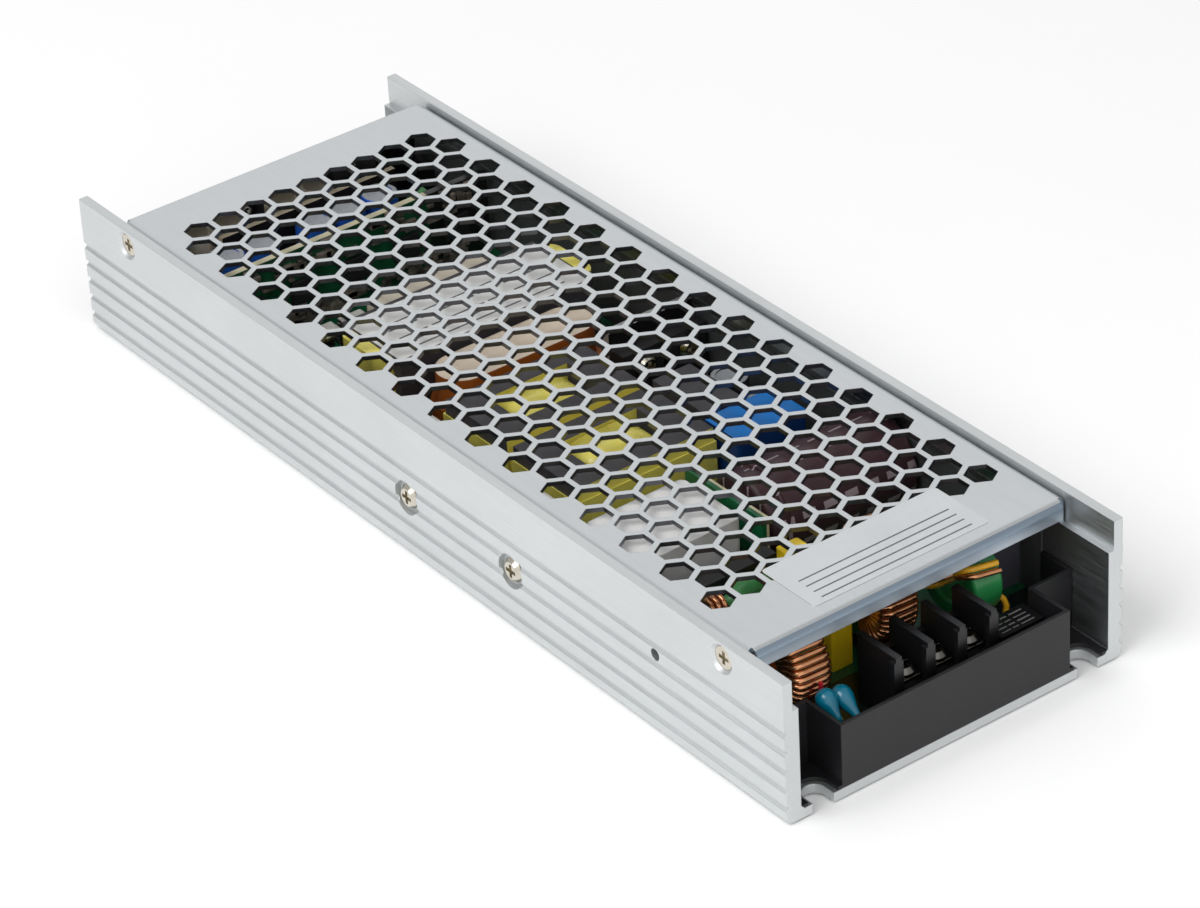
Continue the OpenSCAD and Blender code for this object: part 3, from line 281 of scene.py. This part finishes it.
def shadedRectifierEnd(tree, coords):  # painted shade: the right end of the rectifier board is darkened nearly to black
    return calc(tree, "GREATER_THAN", along(tree, coords, "X"), rectifierEndShade["x"] * mm)


for name, node, broad, mask, ink in (
        ("main board mask", "main_board", "Z", shadedBoardEnd, boardEndShade["colour"]),
        ("control card mask", "control_card", "X", maskedSide, cardMask["colour"]),
        ("rectifier board mask", "rectifier_board", "Y", shadedRectifierEnd, rectifierEndShade["colour"])):
    dress(surface(name, boardLook, edgeColour=cutEdge, edgeAxis=broad, layers=((mask, ink),)), node)
print("boards dressed")

# capacitors and boxes
discLook = {"colour": tone(0, 106, 132), "rough": 0.2, "grain": 900, "cloud": 260, "vary": 0.1, "bump": 0.12,
            "coat": 0.3}
boxLook = {"colour": tone(238, 204, 28), "rough": 0.38, "grain": 3600, "cloud": 160, "vary": 0.08, "bump": 0.2,
           "edge": 0.2}
filmLook = {"colour": tone(0, 118, 200), "rough": 0.46, "grain": 3600, "cloud": 160, "vary": 0.06, "edge": 0.3}
# painted shade: the sides of the blue box are darker than its top
filmShadedSides = tone(4, 52, 108)
relayLook = {"colour": tone(222, 221, 220), "rough": 0.42, "grain": 3600, "cloud": 140, "vary": 0.03, "edge": 0.3}
bulkLook = {"colour": tone(70, 46, 52), "rough": 0.42, "grain": 1400, "cloud": 160, "vary": 0.08, "bump": 0.08}
sleevePrint = {"pitch": {"X": 5.2, "Y": 3.7}, "bare": {"X": 0.4, "Y": 0.88}, "colour": tone(176, 160, 166)}
auxCanLook = {"colour": tone(44, 44, 52), "rough": 0.3, "grain": 900, "cloud": 200, "vary": 0.08}
sleeveLook = {"colour": tone(40, 98, 196), "rough": 0.3, "grain": 900, "cloud": 200, "vary": 0.08}
canTop = tone(172, 176, 180)
canLook = {"colour": tone(255, 240, 214), "metal": 0.4, "rough": 0.14, "grain": 900, "cloud": 240, "vary": 0.03,
           "bump": 0.02, "edge": 0.6}
busbarLook = {"colour": tone(226, 212, 184), "metal": 0.45, "rough": 0.42, "grain": 900, "cloud": 200, "vary": 0.1}
# painted shade: the busbar's faces that look along Y are darkened
busbarShadedEnd = tone(46, 42, 38)
flatFace = 0.8  # how squarely a face has to look along an axis to count as an end


def sleeveDashes(tree, coords):  # plain pale dashes in rows along the sleeve, no lettering
    hits = []
    for axis, pitch in sleevePrint["pitch"].items():
        step = calc(tree, "FRACT", calc(tree, "DIVIDE", along(tree, coords, axis), pitch * mm))
        hits.append(calc(tree, "GREATER_THAN", step, sleevePrint["bare"][axis]))
    return both(tree, *hits)


def topFaces(tree, coords):
    return facing(tree, "Z", flatFace)


def endFaces(tree, coords):
    return facing(tree, "Y", flatFace)


dippedBlue = surface("dipped blue", discLook)
dress(dippedBlue, "disc_capacitors")
dress(surface("yellow box", boxLook), "box_capacitor")
# the top keeps the blue, the sides take the painted shade
dress(surface("blue box", filmLook, edgeColour=filmShadedSides, edgeAxis="Z"), "film_capacitor")
dress(surface("white relay case", relayLook), "relay")
dress(surface("printed sleeve", bulkLook, layers=((sleeveDashes, sleevePrint["colour"]),)), "bulk_capacitor")
dress(surface("dark sleeve", auxCanLook, layers=((topFaces, canTop),)), "auxiliary_capacitors")
dress(surface("blue sleeve", sleeveLook, layers=((topFaces, canTop),)), "sleeved_capacitors")
dress(surface("drawn can", canLook), "can_capacitors")
# faces that look along Y take the painted shade
dress(surface("tinned busbar", busbarLook, layers=((endFaces, busbarShadedEnd),)), "output_busbar")
print("capacitors dressed")

# cores, tapes and windings that stay as solids
coreLook = {"colour": tone(36, 132, 70), "rough": 0.36, "grain": 2400, "cloud": 200, "vary": 0.1, "bump": 0.3,
            "coat": 0.3, "edge": 0.4}
ferriteLook = {"colour": tone(70, 68, 72), "rough": 0.5, "grain": 2600, "cloud": 240, "bump": 0.3, "edge": 0.3}
tapeLook = {"colour": tone(238, 226, 108), "rough": 0.3, "grain": 500, "cloud": 180, "vary": 0.05, "bump": 0.2,
            "depth": 0.0001, "coat": 0.3}
beigeLook = {"colour": tone(222, 206, 186), "rough": 0.42, "grain": 600, "cloud": 140, "vary": 0.06, "bump": 0.2,
             "depth": 0.0001, "edge": 0.6}
blockSides = tone(158, 86, 34)
brownLook = {"colour": tone(158, 88, 34), "metal": 0.4, "rough": 0.4, "stretch": (0.1, 0.1, 1), "grain": 1800,
             "cloud": 200, "vary": 0.2, "bump": 0.6, "depth": 0.0002}
dress(surface("green core coat", coreLook), "left_choke_core", "right_choke_core", "filter_choke_core")
dress(surface("grey ferrite", ferriteLook), "transformer_core", "auxiliary_transformer")
dress(surface("taped ferrite", ferriteLook, layers=((endFaces, tapeLook["colour"]),)), "boost_inductor_cores")
yellowTape = surface("yellow tape", tapeLook)
dress(yellowTape, "boost_inductor_windings", "boost_inductor_tapes", "transformer_winding")
dress(surface("beige wrap", beigeLook), "transformer_bobbin")
dress(surface("wound block", beigeLook, edgeColour=blockSides, edgeAxis="Z"), "resonant_inductor")
dress(surface("brown winding", brownLook), "resonant_winding")
dress(surface("fuse block", terminalLook), "line_fuse")
print("cores dressed")

# wound wires: one real strand for each winding, laid turn by turn around its core
copperLook = {"colour": tone(206, 142, 96), "metal": 0.95, "rough": 0.2, "grain": 700, "cloud": 400, "bump": 0.08,
              "coat": 0.8, "coatRough": 0.08}
yellowWireLook = {"colour": tone(236, 178, 40), "rough": 0.3, "grain": 900, "cloud": 300, "vary": 0.08, "bump": 0.1,
                  "coat": 0.2}
wirePath = {"cornerStep": 15, "spotGap": 0.7}  # degrees between the spots on a corner, mm between those on a straight
leftChoke = {"node": "left_choke_core", "wire": 1.32, "turns": 15, "arc": 132, "bore": 8.8, "corner": 1.7, "at": 180}
rightChoke = {**leftChoke, "node": "right_choke_core"}
rearSide = {"turns": 13, "arc": 116, "at": -8}  # the rear windings leave more of the core bare on top
filterChoke = {"node": "filter_choke_core", "wire": 1.25, "turns": 6, "arc": 199, "bore": 8.8, "corner": 1.5,
               "at": 44.5}
filterCopper = {**filterChoke, "at": 54.5}
filterTail = ((0.5, 3.2, -3.4), (1.5, 2.0, -4.6), (1.8, 1.5, -6.0), (1.3, 1.3, -7.6), (1.0, 1.2, -9.7))


def inMetres(spots):
    return [Vector(spot) * mm for spot in spots]


def strand(name, points, thick, finish):  # round wire through points in metres, its thickness in mm
    line = bpy.data.curves.new(name, "CURVE")
    line.dimensions = "3D"
    line.bevel_depth = thick * mm / 2
    line.bevel_resolution = 3
    line.use_fill_caps = True
    run = line.splines.new("POLY")
    run.points.add(len(points) - 1)
    for spot, point in zip(run.points, points):
        spot.co = (*point, 1)
    line.materials.append(finish)
    shown = bpy.data.objects.new(name, line)
    bpy.context.scene.collection.objects.link(shown)
    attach(shown, "root")
    return shown


def turnOutline(halfRadial, halfAxial, corner):  # one turn round the core section: (radial, axial) spots
    ends = []
    for signR, signA, start in ((1, 1, 0), (-1, 1, 90), (-1, -1, 180), (1, -1, 270)):
        for degrees in range(start, start + 91, wirePath["cornerStep"]):
            turn = math.radians(degrees)
            ends.append((signR * (halfRadial - corner) + corner * math.cos(turn),
                         signA * (halfAxial - corner) + corner * math.sin(turn)))
    spots = []
    for here, there in zip(ends, ends[1:] + ends[:1]):  # straights get spots too, so the strand lies evenly
        cuts = max(1, round(math.dist(here, there) / (wirePath["spotGap"] * mm)))
        spots += [tuple(h + (t - h) * i / cuts for h, t in zip(here, there)) for i in range(cuts)]
    return spots


def turnsOnRing(choke):  # points of one winding, whose middle is at an angle from +Y towards +Z
    low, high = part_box(choke["node"])
    centre = (low + high) / 2
    outer, inner = (high.z - low.z) / 2, choke["bore"] * mm / 2
    wire = choke["wire"] * mm
    outline = turnOutline((outer - inner) / 2 + wire / 2, (high.x - low.x) / 2 + wire / 2, choke["corner"] * mm)
    points = []
    total = choke["turns"] * len(outline)
    for i in range(total + 1):
        angle = math.radians(choke["at"] + choke["arc"] * (i / total - 0.5))
        radial, axial = outline[i % len(outline)]
        radius = (outer + inner) / 2 + radial
        points.append((centre.x + axial, centre.y + radius * math.cos(angle), centre.z + radius * math.sin(angle)))
    return points


def winding(name, choke, finish):
    return strand(name, turnsOnRing(choke), choke["wire"], finish)


copper = surface("enamelled copper", copperLook)
yellowWire = surface("yellow wire", yellowWireLook)
for name, choke, stands in (("leftChoke", leftChoke, "left_choke_windings"),
                            ("rightChoke", rightChoke, "right_choke_windings")):
    front = winding(name + "FrontWinding", choke, copper)
    winding(name + "RearWinding", {**choke, **rearSide}, copper)
    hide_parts(stands)
filterStrand = winding("filterChokeWire", filterChoke, yellowWire)
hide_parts("filter_choke_wire")
winding("filterChokeCopper", filterCopper, copper)
coreLow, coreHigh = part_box(filterChoke["node"])
tailStart = Vector((coreHigh.x, coreLow.y, (coreLow.z + coreHigh.z) / 2))
strand("filterChokeTail", [tailStart + spot for spot in inMetres(filterTail)], filterChoke["wire"], yellowWire)
print("wires wound")

# dipped drop capacitors: a spun drop each, on two leads
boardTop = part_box("main_board")[1].z
boardLevel = boardTop / mm
drops = {"radius": 2.1, "flat": 0.95, "tipRadius": 0.6, "steps": 28,
         "cap": ((0, -1), (0.38, -0.93), (0.71, -0.71), (0.92, -0.38), (1, 0)),  # shares of the radius
         "taper": ((0.93, 0.2), (0.72, 0.42), (0.5, 0.64), (0.36, 0.84)),  # shares of the radius and the length
         "tip": ((1, 0), (0.6, 0.5), (0, 0.65)),  # share of the tip's radius, mm past the length
         "each": (((-23.6, -107.1, 15.3), (-110.7, 12.7)), ((-19.9, -107.05, 14.4), (-111.9, 11.9)))}  # head, tip
dropLeads = {"thick": 0.6, "gap": 1.0, "path": ((0.3, 0.2), (-0.35, -0.5), (-0.6, -1.3)), "footY": -0.6}


def spun(profile, steps):  # a profile of (radius, height) spots in mm, turned round Z
    shape = bmesh.new()
    spots = [shape.verts.new((r * mm, 0, h * mm)) for r, h in profile]
    lines = [shape.edges.new(pair) for pair in zip(spots, spots[1:])]
    bmesh.ops.spin(shape, geom=spots + lines, cent=(0, 0, 0), axis=(0, 0, 1), angle=math.tau, steps=steps,
                   use_merge=True)
    bmesh.ops.remove_doubles(shape, verts=shape.verts, dist=tiny)
    for face in shape.faces:
        face.smooth = True
    return shape


dropShape = bmesh.new()
for head, tip in drops["each"]:
    lean = Vector((0, tip[0] - head[1], tip[1] - head[2]))
    one = spun([(r * drops["radius"], h * drops["radius"]) for r, h in drops["cap"]]
               + [(r * drops["radius"], h * lean.length) for r, h in drops["taper"]]
               + [(r * drops["tipRadius"], h + lean.length) for r, h in drops["tip"]], drops["steps"])
    bmesh.ops.scale(one, vec=(drops["flat"], 1, 1), verts=one.verts)
    turn = lean.to_track_quat("Z", "X").to_matrix().to_4x4()
    bmesh.ops.transform(one, matrix=Matrix.Translation(Vector(head) * mm) @ turn, verts=one.verts)
    part = bpy.data.meshes.new("dropPart")
    one.to_mesh(part)
    one.free()
    dropShape.from_mesh(part)
    bpy.data.meshes.remove(part)
keep(dropShape, "dropCapacitors", dippedBlue, "disc_blue", "disc_capacitors")
leadCount = 0
for head, tip in drops["each"]:
    for side in (-1, 1):
        leadCount += 1
        x = head[0] + side * dropLeads["gap"] / 2
        spots = [(x, tip[0] + y, tip[1] + z) for y, z in dropLeads["path"]]
        spots.append((x, tip[0] + dropLeads["footY"], boardLevel))
        strand(f"dropLead{leadCount}", inMetres(spots), dropLeads["thick"], tinned)

# loose leads near the chokes, each down to the board
redLook = {"colour": tone(170, 24, 40), "rough": 0.4, "grain": 900, "cloud": 300, "vary": 0.08}
redLead = {"thick": 0.9, "spots": ((-22.9, -104.75, 17.4), (-22.9, -104.8, 15), (-22.9, -104.8, 12),
                                   (-22.9, -104.8, boardLevel))}
chokeLead = {"thick": 1.3, "spots": ((3.4, -79.6, 25.2), (5.2, -78.4, 25.7), (9.5, -78.5, 25.7), (13.2, -79.1, 25.5),
                                     (14.9, -79.6, 24.4), (15.2, -79.8, 22), (15.2, -79.8, boardLevel))}
leftLeads = {"thick": 1.2, "xs": (-29.4, -28.0, -26.6),
             "path": ((-83.2, 22.4), (-82.4, 24.0), (-81.2, 25.3), (-79.9, 25.6), (-78.9, 24.8), (-78.6, 23),
                      (-78.6, boardLevel))}
strand("redLead", inMetres(redLead["spots"]), redLead["thick"], surface("red sleeve", redLook))
strand("rightChokeLead", inMetres(chokeLead["spots"]), chokeLead["thick"], copper)
for i, x in enumerate(leftLeads["xs"]):
    strand(f"leftChokeLead{i + 1}", inMetres((x, y, z) for y, z in leftLeads["path"]), leftLeads["thick"], copper)

# round varistor standing on its leads behind the left choke
varistor = {"at": (-18.3, -78.7, 17.4), "radius": 7.9, "thick": 4.2, "lead": 0.8, "gap": 7.5, "steps": 48,
            "flat": 0.72,  # share of the radius
            "rim": ((0.7, 0.86), (0.2, 0.45))}  # inset and height, in shares of half the thickness
varistorLook = {"colour": tone(62, 132, 74), "rough": 0.32, "grain": 1400, "cloud": 260, "vary": 0.14, "bump": 0.2,
                "coat": 0.2}
varistorFinish = surface("dipped green", varistorLook)
radius, half = varistor["radius"], varistor["thick"] / 2
upper = [(0, half), (varistor["flat"] * radius, half)] + [(radius - r * half, h * half) for r, h in varistor["rim"]]
discShape = spun([(r, -h) for r, h in upper] + [(radius, 0)] + upper[::-1], varistor["steps"])
bmesh.ops.rotate(discShape, cent=(0, 0, 0), matrix=Matrix.Rotation(math.pi / 2, 3, "X"), verts=discShape.verts)
bmesh.ops.translate(discShape, vec=Vector(varistor["at"]) * mm, verts=discShape.verts)
keep(discShape, "varistorDisc", varistorFinish, "core_green")
for name, side in (("varistorLeadLeft", -1), ("varistorLeadRight", 1)):
    x, y, z = varistor["at"]
    x += side * varistor["gap"] / 2
    strand(name, inMetres(((x, y, z), (x, y, boardLevel))), varistor["lead"], tinned)
print("drops set")


def block(shape, x, y, z):  # one plain box, given by its limits in mm
    place = Matrix.Translation([sum(span) / 2 * mm for span in (x, y, z)])
    size = Matrix.Diagonal([(high - low) * mm for low, high in (x, y, z)] + [1])
    return bmesh.ops.create_cube(shape, size=1, matrix=place @ size)["verts"]


def edgesOf(verts, axis=None):  # all edges at these corners, or only those that run along an axis, 0 to 2
    edges = dict.fromkeys(e for v in verts for e in v.link_edges)
    return [e for e in edges if axis is None or abs(e.verts[0].co[axis] - e.verts[1].co[axis]) > tiny]


def roundOver(shape, edges, corner, segments):
    bmesh.ops.bevel(shape, geom=edges, offset=corner * mm, offset_type="OFFSET", segments=segments, profile=0.5,
                    affect="EDGES", material=-1)


def barBlock(shape, x, y, z, corner):  # one bar with rounded edges, given by its limits in mm
    roundOver(shape, edgesOf(block(shape, x, y, z)), corner, segments=3)


# taped coils that fill the windows of the boost inductors
coil = {"wide": 19.0, "z": (7.6, 25.5), "long": 9.9, "corner": 5.5, "segments": 10}
windingLow, windingHigh = (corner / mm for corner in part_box("boost_inductor_windings"))
coilX = (windingLow.x + windingHigh.x) / 2
coilShape = bmesh.new()
for y in ((windingLow.y, windingLow.y + coil["long"]), (windingHigh.y - coil["long"], windingHigh.y)):
    corners = block(coilShape, (coilX - coil["wide"] / 2, coilX + coil["wide"] / 2), y, coil["z"])
    roundOver(coilShape, edgesOf(corners, 1), coil["corner"], coil["segments"])
for face in coilShape.faces:
    face.smooth = abs(face.normal.y) < 0.5  # the flat ends stay crisp
keep(coilShape, "boostCoils", yellowTape, "yellow_tape", "boost_inductor_windings")

# bobbin rail behind the transformer, with its pin shoulder
rail = {"x": (-14.6, 14.8), "y": (44.7, 49.6), "z": (22.4, 26.0), "corner": 0.5}
railWeb = {"x": (-14.0, 14.2), "y": (45.0, 47.6), "z": (boardLevel, 22.4), "corner": 0.3}
railLook = {**beigeLook, "colour": tone(206, 196, 178)}
railShape = bmesh.new()
for bar in (rail, railWeb):
    barBlock(railShape, bar["x"], bar["y"], bar["z"], bar["corner"])
keep(railShape, "bobbinRail", surface("bobbin plastic", railLook), "beige_tape", "transformer_bobbin")

# tinned straps from the transformer down to the board
straps = {"xs": ((-27.4, -22.6), (-21.2, -15.4)), "y": (45.4, 50.6), "z": (22.8, 23.8), "corner": 0.3,
          "leg": 0.9, "legCorner": 0.2}
strapShape = bmesh.new()
for x in straps["xs"]:
    legY = (straps["y"][1] - straps["leg"], straps["y"][1])
    barBlock(strapShape, x, straps["y"], straps["z"], straps["corner"])
    barBlock(strapShape, x, legY, (boardLevel, straps["z"][0]), straps["legCorner"])
keep(strapShape, "transformerStraps", tinned, "tinned_metal")

# small green block beside the sleeved capacitors
greenBlock = {"x": (18.6, 22.4), "y": (79.0, 82.4), "z": (boardLevel, 24.8), "corner": 0.6}
greenShape = bmesh.new()
barBlock(greenShape, greenBlock["x"], greenBlock["y"], greenBlock["z"], greenBlock["corner"])
keep(greenShape, "greenBlock", varistorFinish, "core_green")
print("coils and rail set")

# plain rating plate on the lid, plain paper on the transformer and plain dashes on the fuse block
plate = {"x": (-20, 22), "y": (-100, -84.5), "thick": 0.08, "corner": 0.8}
plateLines = {"ys": (-98.4, -96.2, -94, -91.8), "x": (-17, 19), "width": 0.35}
plateLook = {"colour": tone(212, 215, 217), "metal": 0.9, "rough": 0.36, "grain": 900, "vary": 0.03, "bump": 0.05}
paper = {"x": (-23.6, 23.6), "y": (24.6, 43.3), "thick": 0.1, "corner": 0.4}
paperLines = {"ys": (27, 29.2, 31.4, 35, 37.2), "xs": ((-19, -12), (-11, 2), (3, 8), (9.5, 19)), "width": 0.45}
paperLook = {"colour": tone(228, 228, 226), "rough": 0.7, "grain": 2600, "cloud": 120, "vary": 0.03, "bump": 0.2}
ruleLook = {"colour": tone(96, 98, 102), "rough": 0.6, "grain": 2000, "cloud": 200, "vary": 0.1}
fuseLines = {"rows": ((1.0, 0.3), (2.2, 0.4), (3.4, 0.3), (4.7, 0.4)), "xs": ((1.0, 3.2), (3.7, 5.2), (5.8, 8.9))}
inkLook = {**ruleLook, "colour": tone(104, 102, 102)}
lineThick = 0.02


def flatPlate(spec, foot):  # thin plate with round corners, resting on a height in mm
    shape = bmesh.new()
    corners = block(shape, spec["x"], spec["y"], (foot, foot + spec["thick"]))
    roundOver(shape, edgesOf(corners, 2), spec["corner"], segments=4)
    return shape


def ruledLines(lines, foot):  # printed lines: thin bars on a height in mm, each (x limits, y, width)
    shape = bmesh.new()
    for x, y, width in lines:
        block(shape, x, (y - width / 2, y + width / 2), (foot, foot + lineThick))
    return shape


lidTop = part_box("lid")[1].z / mm
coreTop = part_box("transformer_core")[1].z / mm
fuseLow, fuseHigh = (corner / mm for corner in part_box("line_fuse"))
rules = surface("printed rules", ruleLook)
keep(flatPlate(plate, lidTop), "ratingPlate", surface("plain rating plate", plateLook), "lid_sheet")
keep(ruledLines([(plateLines["x"], y, plateLines["width"]) for y in plateLines["ys"]], lidTop + plate["thick"]),
     "ratingRules", rules, "housing_black")
keep(flatPlate(paper, coreTop), "transformerPaper", surface("plain paper", paperLook), "white_case")
keep(ruledLines([(x, y, paperLines["width"]) for y in paperLines["ys"] for x in paperLines["xs"]],
                coreTop + paper["thick"]), "transformerRules", rules, "housing_black")
keep(ruledLines([((fuseLow.x + x0, fuseLow.x + x1), fuseLow.y + y, width)
                 for y, width in fuseLines["rows"] for x0, x1 in fuseLines["xs"]], fuseHigh.z),
     "fusePrint", surface("pale ink", inkLook), "white_case")
print("plates set")

# small parts on the boards
chips = {"flat": 90, "upright": 150, "seed": 7, "x": (-31, 30), "y": (51.5, 72.5), "rows": ((2, 6), (13.6, 18.6)),
         "sizes": ((1.6, 0.8, 0.7), (3.2, 1.6, 1.1), (2, 1.25, 0.9), (1.25, 2, 0.9)), "corner": 0.1}
chipLook = {"colour": tone(104, 97, 88), "cloud": 330, "vary": 0.75}
pick = random.Random(chips["seed"])
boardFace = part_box("rectifier_board")[0].y / mm
smallParts = bmesh.new()
for i in range(chips["flat"] + chips["upright"]):
    wide, deep, high = pick.choice(chips["sizes"])
    x = pick.uniform(*chips["x"])
    x = (x - wide / 2, x + wide / 2)
    if i < chips["flat"]:  # on the main board
        y = pick.uniform(*chips["y"])
        block(smallParts, x, (y - deep / 2, y + deep / 2), (boardLevel, boardLevel + high))
    else:  # on the rectifier board, below and above its row of chips
        z = boardLevel + pick.uniform(*pick.choice(chips["rows"]))
        block(smallParts, x, (boardFace - high, boardFace), (z - deep / 2, z + deep / 2))
roundOver(smallParts, smallParts.edges[:], chips["corner"], segments=1)
keep(smallParts, "boardChips", surface("chip bodies", chipLook), "package_black")
print("small parts placed")

# floor, light and camera
floorLook = {"colour": tone(250, 250, 250), "rough": 0.9, "grain": 40, "cloud": 3, "vary": 0.004, "bump": 0.0}
floorSpec = {"half": 6.0, "drop": 0.0004}
skyLook = {"colour": (1, 1, 1, 1), "strength": 0.55}
lamps = {
    "keyLamp": {"at": (-0.75, -0.1, 0.95), "size": 0.8, "power": 8},
    "fillLamp": {"at": (-0.6, -0.85, 0.72), "size": 2.1, "power": 6.0},
    "frontLamp": {"at": (0.15, -1.2, 0.5), "size": 1.5, "power": 1.0},
    "backLamp": {"at": (0.7, 1.0, 0.85), "size": 1.4, "power": 2.4},
}
cameraSpec = {"at": (-0.48293, -0.68200, 0.54265), "turn": (57.2497, 2.7571, -37.4086), "lens": 149.629,
              "sensor": 36, "reach": 30}

floorShape = bmesh.new()
bmesh.ops.create_grid(floorShape, x_segments=1, y_segments=1, size=floorSpec["half"],
                      matrix=Matrix.Translation((0, 0, -floorSpec["drop"])))
floorMesh = bpy.data.meshes.new("floor")
floorShape.to_mesh(floorMesh)
floorShape.free()
floorMesh.materials.append(surface("pale floor", floorLook))
floor = bpy.data.objects.new("floor", floorMesh)
bpy.context.scene.collection.objects.link(floor)

sky = bpy.data.worlds.new("studio")
bpy.context.scene.world = sky
sky.use_nodes = True
sky.node_tree.nodes["Background"].inputs["Color"].default_value = skyLook["colour"]
sky.node_tree.nodes["Background"].inputs["Strength"].default_value = skyLook["strength"]

for name, spec in lamps.items():
    lamp = bpy.data.lights.new(name, "AREA")
    lamp.size = spec["size"]
    lamp.energy = spec["power"]
    shown = bpy.data.objects.new(name, lamp)
    shown.location = spec["at"]
    shown.rotation_euler = (-Vector(spec["at"])).to_track_quat("-Z", "Y").to_euler()
    bpy.context.scene.collection.objects.link(shown)

lens = bpy.data.cameras.new("photoCamera")
lens.sensor_fit = "HORIZONTAL"
lens.sensor_width = cameraSpec["sensor"]
lens.lens = cameraSpec["lens"]
lens.clip_end = cameraSpec["reach"]
camera = bpy.data.objects.new("photoCamera", lens)
camera.location = cameraSpec["at"]
camera.rotation_euler = Euler([math.radians(a) for a in cameraSpec["turn"]], "XYZ")
bpy.context.scene.collection.objects.link(camera)
bpy.context.scene.camera = camera
bpy.context.scene.view_settings.view_transform = "Standard"
print("studio ready")

bpy.context.view_layer.update()
